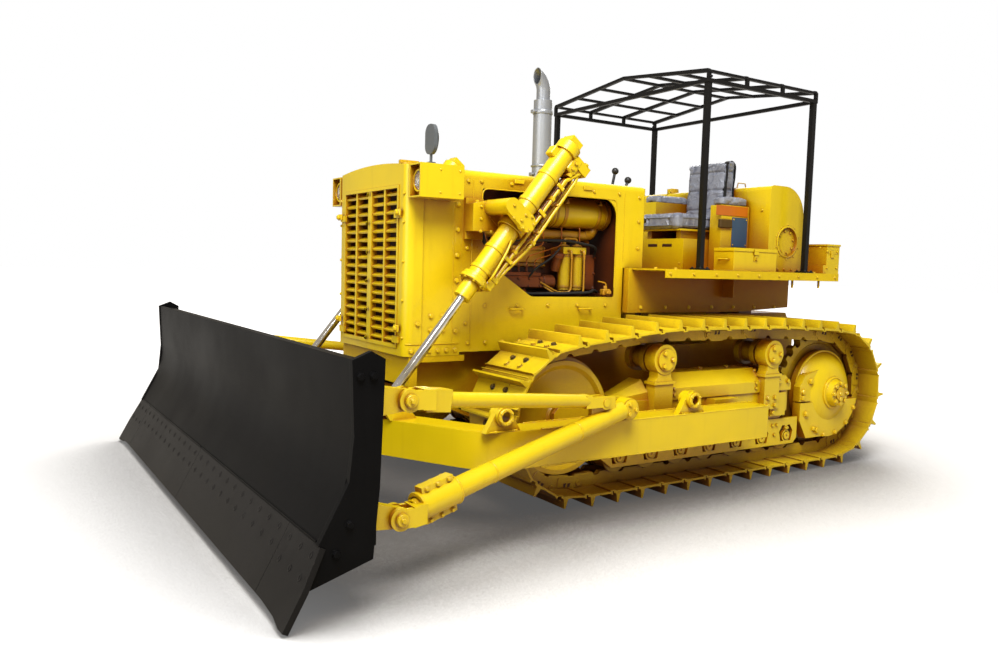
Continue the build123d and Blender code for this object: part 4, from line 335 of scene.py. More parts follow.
# Dark brown of the radiator core. The same finish colours thin plates that stand in for the shade inside
# holes and slots, as painted shade.
enamel("core_black", "3a170b", "1a0803", gloss=0.6, coat=0.0, wear=0.2, dust=0.1, dust_colour="3c342a")
enamel("exhaust_steel", "a3a7ad", "5e6167", chip="6d5b48", gloss=0.34, coat=0.1, tone=0.08, wear=0.3,
       dust=0.1, dust_colour="8a8780", metal=0.55)
enamel("grey_plastic", "5f6468", "2d3033", chip="9a9a98", gloss=0.45, coat=0.1, wear=0.2, dust=0.15,
       dust_colour="7a766c", radius=0.0015)
enamel("blue_plate", "2a5076", "0f2133", chip="8f9499", gloss=0.4, coat=0.2, wear=0.3, dust=0.12,
       dust_colour="5d6166", radius=0.001)
enamel("lever_steel", "1b1b1c", "0b0b0b", chip="8c8a86", gloss=0.35, coat=0.3, wear=0.4, dust=0.1,
       dust_colour="4a4740", radius=0.001)
enamel("rubber", "19191a", "08080a", chip="2f2f30", gloss=0.62, coat=0.0, wear=0.1, dust=0.25,
       dust_colour="55514a", peel=0.0012, radius=0.001)
enamel("strap", "141518", "08080a", chip="2a2a2d", gloss=0.7, coat=0.0, wear=0.0, dust=0.1, peel=0.0012,
       radius=0.0005)
enamel("seat_plain", "8d94a3", "43485a", gloss=0.3, coat=0.4, wear=0.0, dust=0.05)


def polished_chrome():
    """Ground and plated rod: a mirror whose roughness varies a little with fine noise, with faint smears in
    its tint.
    """
    material, tree, shader, here = new_material("chrome")
    fine = noise(tree, here, 90.0, 3.0)
    tree.links.new(ramp(tree, fine, 0.3, 0.7, 0.06, 0.16), shader.inputs["Roughness"])
    smear = noise(tree, here, 7.0, 4.0)
    tint = blend_colours(tree, ramp(tree, smear, 0.45, 0.75), srgb("d9d8d4"), srgb("b3a98f"))
    tree.links.new(tint, shader.inputs["Base Color"])
    shader.inputs["Metallic"].default_value = 1.0
    return material


def lamp_glass():
    """Clear lens: light passes, bends and leaves, and fine flutes blur it a little."""
    material, tree, shader, here = new_material("lamp_glass")
    for socket, value in (("Base Color", srgb("eef2f2")), ("Roughness", 0.05), ("IOR", 1.45),
                          ("Transmission Weight", 0.85)):
        shader.inputs[socket].default_value = value
    drawn = place(tree, "ShaderNodeMapping", {"Vector": here, "Scale": (1.0, 90.0, 6.0)})
    flutes = noise(tree, drawn.outputs[0], 2.0, 0.0)
    bump = place(tree, "ShaderNodeBump", {"Height": flutes, "Distance": 0.002})
    tree.links.new(bump.outputs[0], shader.inputs["Normal"])


def film_vinyl():
    """Grey vinyl under clear wrapping film: a grainy cover, and a clear coat whose own fine creases throw
    sharp lights that the cover below doesn't have. The hollows of the folds are painted darker, as painted
    shade."""
    material, tree, shader, here = new_material("film_vinyl")
    painted_shade_mask = use(tree, corner_shade_group, Reach=0.06)["Mask"]
    grain = place(tree, "ShaderNodeTexVoronoi", {"Vector": here, "Scale": 420.0})
    fold = noise(tree, here, 5.5, 4.0, Roughness=0.5, Distortion=2.2)
    sharp = maths(tree, "ABSOLUTE", maths(tree, "SUBTRACT", fold, 0.5))
    line = ramp(tree, sharp, 0.0, 0.09, 1.0, 0.0)
    base = blend_colours(tree, ramp(tree, fold, 0.3, 0.7), srgb("6e7386"), srgb("9aa0b0"))
    base = blend_colours(tree, maths(tree, "MULTIPLY", line, 0.15), base, srgb("c9cdd6"))
    # Painted shade: the cover turns dark blue-grey where the folds and corners shut it in.
    base = blend_colours(tree, painted_shade_mask, base, srgb("333847"))
    cover = place(tree, "ShaderNodeBump", {"Height": grain.outputs["Distance"], "Distance": 0.0004})
    film = place(tree, "ShaderNodeBump", {"Height": line, "Distance": 0.005})
    for socket, value in (("Base Color", base), ("Normal", cover.outputs[0]),
                          ("Coat Normal", film.outputs[0])):
        tree.links.new(value, shader.inputs[socket])
    for socket, value in (("Roughness", 0.5), ("Coat Weight", 1.0), ("Coat Roughness", 0.08)):
        shader.inputs[socket].default_value = value


polished_chrome()
lamp_glass()
film_vinyl()
print("finishes:", len(MATERIALS))

# %% [markdown]
# ## Which node wears what
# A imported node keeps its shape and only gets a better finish, by writing it on the object's own
# material slots.

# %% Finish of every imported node
NODE_FINISH = {
    "track_paint": ["track_left", "track_right", "sprockets", "track_rollers", "carrier_rollers"],
    "hull_paint": ["main_frame", "fender_left", "fender_right"],
    "black_paint": ["blade"],
    "edge_steel": ["cutting_edges"],
    "canopy_black": ["canopy_posts", "canopy_roof"],
    "chrome": ["lift_rod_left", "lift_rod_right"],
    "engine_iron": ["engine_block"],
    "core_black": ["radiator_core"],
    "exhaust_steel": ["exhaust_pipe"],
    "grey_plastic": ["mirror"],
    "lever_steel": ["control_levers"],
    "seat_plain": ["seat_cushion", "seat_back", "armrest_pads"],
}
finish_of = {node: finish for finish, nodes in NODE_FINISH.items() for node in nodes}
for node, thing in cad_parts.items():
    thing.data.materials.clear()
    thing.data.materials.append(MATERIALS[finish_of.get(node, "yellow_paint")])
print("yellow nodes:", sorted(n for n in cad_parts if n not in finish_of))

# %% [markdown]
# ## Small parts by the hundred
# A bolt head is drawn once, round its own Z axis, and then stamped wherever a bolt sits. The
# stamping is one sum over whole arrays, so three hundred shoe bolts cost no more thought than one.
# A part is always a pair: its points, and its faces as rows of point numbers.

# %% Part helpers
PIECES = []
ACROSS = np.array((0.0, 1.0, 0.0))
FROM_LEFT, FROM_ABOVE, FROM_FRONT, FROM_REAR = (0, -1, 0), (0, 0, -1), (-1, 0, 0), (1, 0, 0)


def at(x, y, z):
    """A point written from the machine's datum line, 1.85 m ahead of the sprocket's axle."""
    return np.array([x + DATUM, y, z], dtype=float)


def grid(x, y, z):
    """Points at every mix of the x, y and z given, measured from the datum. z changes fastest."""
    mix = np.meshgrid(np.atleast_1d(x), np.atleast_1d(y), np.atleast_1d(z), indexing="ij")
    return np.stack([values.ravel() for values in mix], axis=1) + (DATUM, 0.0, 0.0)


def middle_of(node):
    """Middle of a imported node's box."""
    low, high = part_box(node)
    return np.array(low + high) / 2


def unit(rows):
    """Each row divided by its length, the root of the sum of its squares."""
    rows = np.atleast_2d(np.asarray(rows, dtype=float))
    return rows / np.linalg.norm(rows, axis=1, keepdims=True)


def join(*parts):
    """One part from several: each part's face numbers are raised by the count of points before it."""
    points, faces, before = [], [], 0
    for part_points, part_faces in parts:
        points.append(part_points)
        faces += [[index + before for index in face] for face in part_faces]
        before += len(part_points)
    return np.vstack(points), faces


def axes_along(normals, towards=(0.0, 0.0, 1.0), spin=0.0):
    """Three axes for each normal. The third is the normal. The first is the guide direction less its
    share along the normal, and the second is third cross first. Both turn by spin about the third."""
    third = unit(normals)
    guide = np.tile(unit(towards), (len(third), 1))
    alike = np.abs((guide * third).sum(1)) > 0.97
    guide[alike] = (1.0, 0.0, 0.0)
    first = unit(guide - (guide * third).sum(1)[:, None] * third)
    second = np.cross(third, first)
    turn = np.broadcast_to(spin, len(third))[:, None]
    return np.stack([np.cos(turn) * first + np.sin(turn) * second,
                     np.cos(turn) * second - np.sin(turn) * first, third], axis=1)


def stamp(part, places, axes=None):
    """Copies of a part: a point (x, y, z) goes to place + x first axis + y second + z third. One set of
    axes serves every place, and without any the part stands upright."""
    points, faces = part
    places = np.atleast_2d(places)
    axes = np.broadcast_to(np.eye(3) if axes is None else axes, (len(places), 3, 3))
    moved = places[:, None, :] + np.einsum("pk,nki->npi", points, axes)
    before = np.arange(len(places))[:, None] * len(points)
    numbers = []
    for face in faces:
        numbers += (np.array(face)[None, :] + before).tolist()
    return moved.reshape(-1, 3), numbers


def mirrored(part):
    """The same part on the other side: y changes its sign and each face turns round."""
    points, faces = part
    return points * (1.0, -1.0, 1.0), [face[::-1] for face in faces]


def both(part):
    """The part and its mirror image."""
    return join(part, mirrored(part))


def revolved(profile, count=24, closed=False):
    """Round part about Z. Point k of a ring (r, z) is (r cos t, r sin t, z) with t = 2 pi k / count,
    and a ring with r = 0 is one pole. Rings run from the bottom up the outside."""
    turn = np.arange(count) * 2 * np.pi / count
    points, rings = [], []
    for radius, height in profile:
        size = 1 if radius == 0 else count
        rings.append([len(points) + k for k in range(size)] * (count if size == 1 else 1))
        points += [(radius * math.cos(t), radius * math.sin(t), height) for t in turn[:size]]
    pairs = list(zip(rings, rings[1:])) + ([(rings[-1], rings[0])] if closed else [])
    faces = []
    for lower, upper in pairs:
        for k in range(count):
            n = (k + 1) % count
            face = [lower[k], lower[n], upper[n], upper[k]]
            faces.append([v for i, v in enumerate(face) if v not in face[:i]])
    return np.array(points), faces


def band(inner, outer, half, lip=0.001, edge=0.003, count=36):
    """Hoop about Z, half its width to each side. Its outer corners are cut off by lip inwards and by
    edge along the width."""
    return revolved([(inner, -half), (outer - lip, -half), (outer, edge - half), (outer, half - edge),
                     (outer - lip, half), (inner, half)], count, closed=True)


def beaded(inner, outer, half, lip=0.002, count=36):
    """Hoop about Z with a ridge: as a band, but its two slopes meet in the middle."""
    return revolved([(inner, -half), (outer - lip, -half), (outer, 0.0), (outer - lip, half), (inner, half)],
                    count, closed=True)


def flat_ring(inner, outer, height, lip, edge, count=28, foot=0.0):
    """Ring about Z from its foot up, with only its outer top corner cut off."""
    return revolved([(inner, foot), (outer, foot), (outer, height - edge), (outer - lip, height),
                     (inner, height)],
                    count, closed=True)


def disc(radius, height, lip, edge, count=28):
    """Round cover about Z from 0 up. Its top corner is cut off by lip inwards and by edge down."""
    return revolved([(0, 0), (radius, 0), (radius, height - edge), (radius - lip, height), (0, height)],
                    count)


def hexagon(across, height, washer=1.25, plate=0.15):
    """Bolt head on its washer: a six-sided prism whose top corners are turned off to a cone."""
    corner = across / math.sqrt(3)
    base = plate * height
    head = revolved([(0, 0), (corner, 0), (corner, height * 0.8), (corner * 0.84, height), (0, height)], 6)
    ring = revolved([(0, -0.001), (corner * washer, -0.001), (corner * washer, base), (0, base)], 16)
    return join(head, ring)


def dome(radius, height, count=14):
    """Round-headed rivet or button: a part of a ball, in three rings."""
    return revolved([(0, -0.001), (radius, -0.001), (radius, height * 0.3), (radius * 0.72, height * 0.78),
                     (radius * 0.35, height * 0.96), (0, height)], count)


def block(size, bevel=0.003):
    """Block with bevelled edges round the origin. Every corner gives three points, one on each face
    that meets there. A face whose normal looks inwards is turned round."""
    half = np.array(size, dtype=float) / 2
    signs = np.array([(x, y, z) for x in (-1, 1) for y in (-1, 1) for z in (-1, 1)], dtype=float)
    inset = np.repeat(signs[:, None, :] * (half - bevel), 3, axis=1)
    inset[:, range(3), range(3)] = signs * half
    points = inset.reshape(-1, 3)
    index = {tuple(s): 3 * i for i, s in enumerate(signs.astype(int))}
    faces = [[3 * i, 3 * i + 1, 3 * i + 2] for i in range(8)]
    for axis in range(3):
        b, c = (axis + 1) % 3, (axis + 2) % 3
        for sign in (-1, 1):
            loop = []
            for u, v in ((-1, -1), (1, -1), (1, 1), (-1, 1)):
                key = [0, 0, 0]
                key[axis], key[b], key[c] = sign, u, v
                loop.append(index[tuple(key)] + axis)
            faces.append(loop)
            for other in (-1, 1):
                ends = []
                for along in (-1, 1):
                    key = [0, 0, 0]
                    key[axis], key[b], key[c] = sign, other, along
                    ends.append(index[tuple(key)])
                faces.append([ends[0] + axis, ends[1] + axis, ends[1] + b, ends[0] + b])
    turned_out = []
    for face in faces:
        a, b, c = points[face[0]], points[face[1]], points[face[2]]
        outward = np.dot(np.cross(b - a, c - a), points[face].mean(0))
        turned_out.append(face if outward > 0 else face[::-1])
    return points, turned_out


def slab(low, high, bevel=0.003):
    """Bevelled block between two corners."""
    low, high = np.array(low, dtype=float), np.array(high, dtype=float)
    return stamp(block(np.abs(high - low), bevel), (low + high) / 2)


def box(low, high, bevel=0.003):
    """Bevelled block between two corners measured from the datum."""
    return slab(at(*low), at(*high), bevel)


def plate(outline, thick, bevel=0.0):
    """Flat plate in the XY plane from an anticlockwise outline, from z = 0 up. The bevel moves the top
    edge in along the mean of its two neighbours' normals."""
    outline = np.array(outline, dtype=float)
    edge = unit(np.roll(outline, -1, 0) - outline)
    inward = np.stack([-edge[:, 1], edge[:, 0]], 1)
    mean = unit(inward + np.roll(inward, 1, 0))
    rings = [(outline, 0.0), (outline, thick - bevel)] + ([(outline + mean * bevel, thick)] if bevel else [])
    count = len(outline)
    points = np.vstack([np.column_stack([ring, np.full(count, z)]) for ring, z in rings])
    faces = [list(range(count))[::-1], list(range((len(rings) - 1) * count, len(rings) * count))]
    for level in range(len(rings) - 1):
        for k in range(count):
            n, low = (k + 1) % count, level * count
            faces.append([low + k, low + n, low + count + n, low + count + k])
    return points, faces


def ring_outline(radius, count=24, squeeze=1.0):
    """Anticlockwise circle of points, narrowed by squeeze along Y."""
    turn = np.arange(count) * 2 * np.pi / count
    return np.stack([radius * np.cos(turn), radius * squeeze * np.sin(turn)], 1)


def rounded_path(path, corner, steps=7):
    """A path whose corners are replaced by the curve (1-t)(1-t) A + 2t(1-t) B + t t C, where B is the
    corner and A and C lie `corner` away from it along its two legs, or half a leg if that is less."""
    path = np.array(path, dtype=float)
    if corner <= 0 or len(path) < 3:
        return path
    out = [path[0]]
    for before, here, after in zip(path, path[1:], path[2:]):
        legs = (before - here, after - here)
        ends = [here + leg * min(0.48, corner / np.linalg.norm(leg)) for leg in legs]
        t = np.linspace(0, 1, steps)[:, None]
        out += list((1 - t) ** 2 * ends[0] + 2 * t * (1 - t) * here + t ** 2 * ends[1])
    return np.array(out + [path[-1]])


def swept(path, radius, sides=12, corner=0.0, squeeze=1.0):
    """Pipe along a path. A ring's axes are carried from one point to the next by the turn that takes
    one tangent to the other, so the pipe never twists. radius may be one value or one a point."""
    path = rounded_path(path, corner)
    tangent = unit(np.gradient(path, axis=0))
    first = axes_along(tangent[:1])[0, 0]
    radii = np.broadcast_to(radius, len(path))
    turn = np.arange(sides) * 2 * np.pi / sides
    rings = []
    for point, ahead, size in zip(path, tangent, radii):
        first = unit(first - np.dot(first, ahead) * ahead)[0]
        second = np.cross(ahead, first)
        around = np.cos(turn)[:, None] * first + squeeze * np.sin(turn)[:, None] * second
        rings.append(point + size * around)
    points = np.vstack([path[:1], *rings, path[-1:]])
    faces, last = [], len(points) - 1
    for k in range(sides):
        n = (k + 1) % sides
        faces.append([0, 1 + n, 1 + k])
        faces.append([last, last - sides + k, last - sides + n])
        for level in range(len(path) - 1):
            low = 1 + level * sides
            faces.append([low + k, low + n, low + sides + n, low + sides + k])
    return points, faces


def pipe(path, radius, corner=0.0, sides=12):
    """Pipe through points measured from the datum."""
    return swept([at(*point) for point in path], radius, sides, corner)


def weld_bead(path, size=0.007, step=0.006):
    """Weld: a flattened bead along a path with a ripple for every dip of the rod, as a sine of the
    distance run. The path is cut into equal steps first."""
    path = np.array(path, dtype=float)
    leg = np.linalg.norm(np.diff(path, axis=0), axis=1)
    run = np.concatenate([[0.0], np.cumsum(leg)])
    marks = np.linspace(0, run[-1], max(3, int(run[-1] / step)))
    line = np.stack([np.interp(marks, run, path[:, i]) for i in range(3)], 1)
    ripple = size * (1 + 0.13 * np.sin(marks * 2 * np.pi / 0.013)) + 0.0012 * rng.standard_normal(len(marks))
    return swept(line, ripple, sides=6)


def add(name, part, finish, body="root", smooth=35):
    """Makes the mesh object, smooths edges flatter than an angle, and ties it to its body and finish."""
    points, faces = part
    mesh = bpy.data.meshes.new(name)
    mesh.from_pydata(np.asarray(points).tolist(), [], faces)
    mesh.validate()
    if smooth:
        mesh.shade_smooth()
        mesh.set_sharp_from_angle(angle=math.radians(smooth))
    mesh.materials.append(MATERIALS[finish])
    thing = bpy.data.objects.new(name, mesh)
    scene.collection.objects.link(thing)
    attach(thing, body)
    PIECES.append((name, sum(len(face) - 2 for face in faces)))
    return thing


def node_arrays(node):
    """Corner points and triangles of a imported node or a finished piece, read whole from its mesh."""
    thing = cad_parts.get(node) or bpy.data.objects[node]
    mesh = thing.data
    points = np.empty(len(mesh.vertices) * 3, dtype=np.float32)
    mesh.vertices.foreach_get("co", points)
    mesh.calc_loop_triangles()
    corners = np.empty(len(mesh.loop_triangles) * 3, dtype=np.int32)
    mesh.loop_triangles.foreach_get("vertices", corners)
    matrix = np.array(thing.matrix_world)
    points = points.reshape(-1, 3).astype(float) @ matrix[:3, :3].T + matrix[:3, 3]
    return points, corners.reshape(-1, 3)


TREES = {}


def hits(nodes, starts, direction, reach=1.0):
    """Where rays from the starts along one direction first meet the nodes: points and normals, for the
    rays that meet anything."""
    key = tuple(nodes)
    if key not in TREES:
        points, faces = join(*[(p, f.tolist()) for p, f in (node_arrays(node) for node in nodes)])
        TREES[key] = BVHTree.FromPolygons(points.tolist(), faces)
    found = []
    for start in np.atleast_2d(starts):
        place, normal, _, _ = TREES[key].ray_cast(Vector(start), Vector(direction), reach)
        if place is not None:
            facing = 1 if normal.dot(Vector(direction)) < 0 else -1
            found.append((place, normal * facing))
    if not found:
        return np.empty((0, 3)), np.empty((0, 3))
    return np.array([f[0] for f in found]), np.array([f[1] for f in found])


def bolts_on(nodes, starts, direction, head, reach=1.0, towards=(0.0, 0.0, 1.0)):
    """Heads stamped where rays meet the nodes, each turned by its own random angle."""
    places, normals = hits(nodes, starts, direction, reach)
    return stamp(head, places, axes_along(normals, towards, rng.uniform(0, 6.28, len(places))))


def line_on(nodes, starts, direction, radius, lift=0.0004, reach=1.0):
    """Thin round line laid where rays meet the nodes, with its middle lifted off them."""
    line, normals = hits(nodes, starts, direction, reach)
    return swept(line + lift * normals, radius, sides=6)


def circle_of(middle, radius, count, axis=(0.0, 1.0, 0.0), start=0.0):
    """count points at equal angles on a circle square to an axis."""
    first, second, _ = axes_along([axis])[0]
    turn = start + np.arange(count) * 2 * np.pi / count
    return np.asarray(middle) + radius * (np.cos(turn)[:, None] * first + np.sin(turn)[:, None] * second)


TO_LEFT, TO_FRONT = axes_along([ACROSS]), axes_along([(1, 0, 0)])
print("part helpers ready; datum at x", round(DATUM, 4))

# %% [markdown]
# ## Tracks
# A shoe is bolted to its two links by four bolts, and the links are joined by pins whose ends show in
# the link's side. Each shoe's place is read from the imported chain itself: its outer face is the one
# flat patch of about 0.06 square metres that looks away from the middle of the loop.

# %% Where each shoe lies
PITCH = 0.216
LOOP_MIDDLE = middle_of("track_left")
TRACK_Y = LOOP_MIDDLE[1]


def flat_patches(node):
    """Flat patches of a node: triangles with the same normal and the same distance from the origin are
    put together, and a patch's middle is the mean of theirs weighted by area."""
    points, triangles = node_arrays(node)
    a, b, c = (points[triangles[:, i]] for i in range(3))
    cross = np.cross(b - a, c - a)
    double = np.linalg.norm(cross, axis=1)
    keep = double > 1e-9
    normal, middle, area = cross[keep] / double[keep, None], ((a + b + c) / 3)[keep], double[keep] / 2
    key = np.round(np.column_stack([normal, (normal * middle).sum(1)]), 3)
    _, first, group = np.unique(key, axis=0, return_index=True, return_inverse=True)
    group = group.ravel()
    total = np.bincount(group, area)
    centre = np.stack([np.bincount(group, area * middle[:, i]) / total for i in range(3)], 1)
    return normal[first], centre, total


normals, centres, areas = flat_patches("track_left")
outwards = (normals * (centres - LOOP_MIDDLE)).sum(1) > 0
shoes = (areas > 0.056) & (areas < 0.064) & outwards & (np.abs(normals[:, 1]) < 0.01)
SHOE_OUT, SHOE_MIDDLE = normals[shoes], centres[shoes]
SHOE_ALONG = np.cross(ACROSS, SHOE_OUT)
print("shoes found:", len(SHOE_OUT), "areas", np.round(areas[shoes][:3], 4))

# %% [markdown]
# The side of a link is forged with a raised outline, so the chain reads as single links although it
# is one loop. The outline is drawn once as distances along the link and out from its pin line.

# %% Shoe bolts, link sides and pin ends
PIN = SHOE_MIDDLE - 0.078 * SHOE_ALONG - 0.050 * SHOE_OUT
LINK_FACE = 0.0948
LINK_SIDE = [(-0.034, 0.0), (-0.024, -0.023), (0.0, -0.030), (0.016, -0.029), (0.036, -0.049),
             (0.158, -0.049),
             (0.170, -0.030), (0.174, 0.028), (-0.016, 0.030), (-0.030, 0.017)]
WINDOW_SHADE = [(-0.012, -0.014), (0.012, -0.010), (0.010, 0.013), (-0.004, 0.013)]


def shoe_places(along, across):
    """Points on the outer face of every shoe, at a distance along the link and across the chain."""
    return PIN + along * SHOE_ALONG + across * ACROSS + 0.0495 * SHOE_OUT


turned_heads = axes_along(SHOE_OUT, ACROSS, rng.uniform(0, 6.28, len(SHOE_OUT)))
head = hexagon(0.030, 0.016)
for label, along, finish in (("front", 0.104, "track_paint"), ("rear", 0.046, "bolt_dark")):
    bolts = join(*[stamp(head, shoe_places(along, across), turned_heads) for across in (-0.075, 0.075)])
    add(f"shoe_bolts_{label}", both(bolts), finish)

pin_end = revolved([(0, 0), (0.021, 0), (0.021, 0.009), (0.018, 0.011), (0.007, 0.0105), (0, 0.008)], 16)
link_parts, window_shade_parts, pin_parts = [], [], []
for side in (1, -1):
    start = PIN + side * LINK_FACE * ACROSS + (PITCH if side > 0 else 0.0) * SHOE_ALONG
    axes = np.stack([-side * SHOE_ALONG, SHOE_OUT, side * np.tile(ACROSS, (len(PIN), 1))], axis=1)
    link_parts.append(stamp(plate(LINK_SIDE, 0.0045, 0.0015), start, axes))
    # The windows are not cut through the link. A thin dark plate on its side stands in for the shade inside
    # each window, as painted shade.
    for along in (0.078, 0.112):
        middle = start - side * along * SHOE_ALONG + 0.012 * SHOE_OUT + side * 0.0044 * ACROSS
        window_shade_parts.append(stamp(plate(WINDOW_SHADE, 0.0012), middle, axes))
    pin_parts.append(stamp(pin_end, start, axes))
add("link_sides", both(join(*link_parts)), "track_paint")
add("link_windows", both(join(*window_shade_parts)), "core_black", smooth=0)
add("pin_ends", both(join(*pin_parts)), "track_paint")
print("chain:", PIECES)

# %% [markdown]
# The grouser is the bar that bites the ground. Its weld to the shoe shows as a thin bead.

# %% Grouser welds
SHOE_HALF = 0.27
roots = PIN + (PITCH - 0.028) * SHOE_ALONG + 0.056 * SHOE_OUT
beads = [swept([root - SHOE_HALF * ACROSS, root, root + SHOE_HALF * ACROSS], 0.004, sides=5)
         for root in roots]
add("grouser_welds", both(join(*beads)), "track_paint")
print("welds:", PIECES[-1])

# %% [markdown]
# ## Track frames
# The frame is full of bolted joints: the roller guards, the clamps of the upper rollers, the cover
# on the recoil spring and the cap on the final drive. Where a head must lie flat on a surface that
# isn't square to the axes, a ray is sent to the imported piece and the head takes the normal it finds.

# %% Bolts of the track frames
FRAME = ["track_frame_left"]
ROLLERS_X = np.linspace(-1.335, 0.385, 7)
ROLLER_Z = 0.2653
CARRIERS_X = (-1.090, 0.040)
SIDE_Y = 1.6
small, medium, large = hexagon(0.022, 0.012), hexagon(0.030, 0.017), hexagon(0.040, 0.022)
guard_starts = [at(x + dx, SIDE_Y, ROLLER_Z + dz) for x in ROLLERS_X[:-1]
                for dx, dz in ((0.118, 0.095), (0.168, 0.095), (0.143, 0.020))]
guard_bolts = bolts_on(FRAME, guard_starts, FROM_LEFT, small)
shaft_end = revolved([(0, 0), (0.030, 0), (0.030, 0.006), (0.026, 0.009), (0.010, 0.009), (0.008, 0.004),
                      (0, 0.004)], 20)
shaft_ends = stamp(shaft_end, grid(ROLLERS_X, 1.1035, ROLLER_Z), TO_LEFT)
clamp_parts = []
for x in CARRIERS_X:
    pair = (x - 0.088, x + 0.088)
    ring = circle_of(at(x, SIDE_Y, 0.925), 0.052, 3, start=0.5)
    clamp_parts.append(bolts_on(FRAME, ring, FROM_LEFT, medium))
    clamp_parts.append(bolts_on(FRAME, grid(pair, SIDE_Y, 0.79), FROM_LEFT, small))
    for y in (1.075, 1.13):
        clamp_parts.append(bolts_on(FRAME, grid(pair, y, 0.90), FROM_ABOVE, small))
recoil_bolts = bolts_on(FRAME, grid((-0.80, -0.52, -0.24), 0.94, 1.02), FROM_ABOVE, medium)
rim_bolts = bolts_on(FRAME, grid((-0.955, -0.10), SIDE_Y, (0.665, 0.705)), FROM_LEFT, small)
panel_starts = np.vstack([grid((-1.30, -1.20), SIDE_Y, 0.705),
                          grid((-1.125, -1.045), SIDE_Y, (0.47, 0.53, 0.59))])
panel_bolts = bolts_on(FRAME, panel_starts, FROM_LEFT, medium)
keeper_starts = [at(x + dx, SIDE_Y, ROLLER_Z + 0.064) for x in ROLLERS_X for dx in (-0.008, 0.008)]
keepers = bolts_on(FRAME, keeper_starts, FROM_LEFT, small)
frame_bolts = join(guard_bolts, shaft_ends, keepers, recoil_bolts, rim_bolts, panel_bolts, *clamp_parts)
add("frame_bolts", both(frame_bolts), "yellow_paint")
print("track frame bolts:", PIECES[-1])

# %% [markdown]
# The final drive's cap is held by a ring of bolts, with a drain plug and a filler plug beside them.

# %% Final drive
DRIVE = ["final_drives"]
AXLE = middle_of("sprockets") * (1, 0, 1)
hub = AXLE + (0, 1.9, 0)
cap_ring = bolts_on(DRIVE, circle_of(hub, 0.082, 8), FROM_LEFT, medium)
plugs = bolts_on(DRIVE, [hub, hub + (0.0, 0.0, -0.045)], FROM_LEFT, hexagon(0.036, 0.018, 1.4))
guard_turns = np.radians((205, 230, 255, 280, 305))
guard_ring = bolts_on(DRIVE, [hub + (0.35 * math.cos(t), 0.0, 0.35 * math.sin(t)) for t in guard_turns],
                      FROM_LEFT, medium)
pads = ((0.34, 0.02), (0.34, -0.03), (0.25, 0.10), (0.30, -0.16), (0.16, -0.30))
pad_bolts = bolts_on(DRIVE, [hub + (x, 0.0, z) for x, z in pads], FROM_LEFT, large)
flange = stamp(flat_ring(0.118, 0.132, 0.016, 0.006, 0.004, 40), AXLE + (0, TRACK_Y + 0.204, 0), TO_LEFT)
seam = stamp(flat_ring(0.300, 0.338, 0.014, 0.004, 0.004, 56), AXLE + (0, TRACK_Y + 0.082, 0), TO_LEFT)
add("drive_fittings", both(join(cap_ring, plugs, guard_ring, pad_bolts, flange, seam)), "bolt_yellow")
hub_cap = stamp(disc(0.055, 0.011, 0.007, 0.003), AXLE + (0, TRACK_Y + 0.267, 0), TO_LEFT)
add("drive_caps", both(hub_cap), "cast_paint")
print("final drive:", PIECES[-2:])

# %% [markdown]
# ## C-frame and braces
# The C-frame is a welded box: two plates on edge with two plates on top of each other, so a bead
# runs along every long corner. The brackets' pins are kept by collars with a ring of small bolts.

# %% C-frame
LIFT = "blade_assembly"
ARM_Y, ARM_Z, ARM_X = (1.260, 1.460), (0.382, 0.602), (-0.675, 1.30)
arm_beads = []
for y in (ARM_Y[1] - 0.003, ARM_Y[0] + 0.003):
    for z in reversed(ARM_Z):
        arm_beads.append(weld_bead([at(ARM_X[0] + 0.01, y, z), at(ARM_X[1], y, z)], 0.0055))
for z in reversed(ARM_Z):
    arm_beads.append(weld_bead([at(ARM_X[0], ARM_Y[0] + 0.01, z), at(ARM_X[0], ARM_Y[1] - 0.01, z)], 0.0055))
add("arm_welds", both(join(*arm_beads)), "yellow_paint", LIFT)
PIN_Z, ARM_MIDDLE, BRACKET_HALF = 0.690, 1.410, 0.046
collar = revolved([(0.030, -0.001), (0.050, -0.001), (0.050, 0.010), (0.045, 0.014), (0.033, 0.014),
                   (0.030, 0.010)], 28, closed=True)
bracket_parts = []
for x in (1.550, 0.060):
    for sign in (1, -1):
        face = at(x, ARM_MIDDLE + sign * BRACKET_HALF, PIN_Z)
        axes = axes_along([(0, sign, 0)])
        bracket_parts.append(stamp(collar, face, axes))
        ring = circle_of(face, 0.041, 6) + (0, sign * 0.013, 0)
        bracket_parts.append(stamp(hexagon(0.012, 0.008), ring, axes))
    foot = [at(x + dx, ARM_MIDDLE + 0.024, ARM_Z[1] + 0.002) for dx in (-0.095, 0.095)]
    bracket_parts.append(weld_bead(foot, 0.006))
for x in (1.550, 0.700, 0.060):
    for dx in (-0.075, 0.075):
        bracket_parts.append(bolts_on(["c_frame"], [at(x + dx, ARM_MIDDLE - 0.030, 1.2)], FROM_ABOVE, medium))
add("bracket_fittings", both(join(*bracket_parts)), "bolt_yellow", LIFT)
print("C-frame:", PIECES[-2:])

# %% [markdown]
# The lower brace is a screw: its slotted clamp is closed by bolts across the slot. Each brace pin is
# kept by a plate with a bolt on the fork's outer cheek.

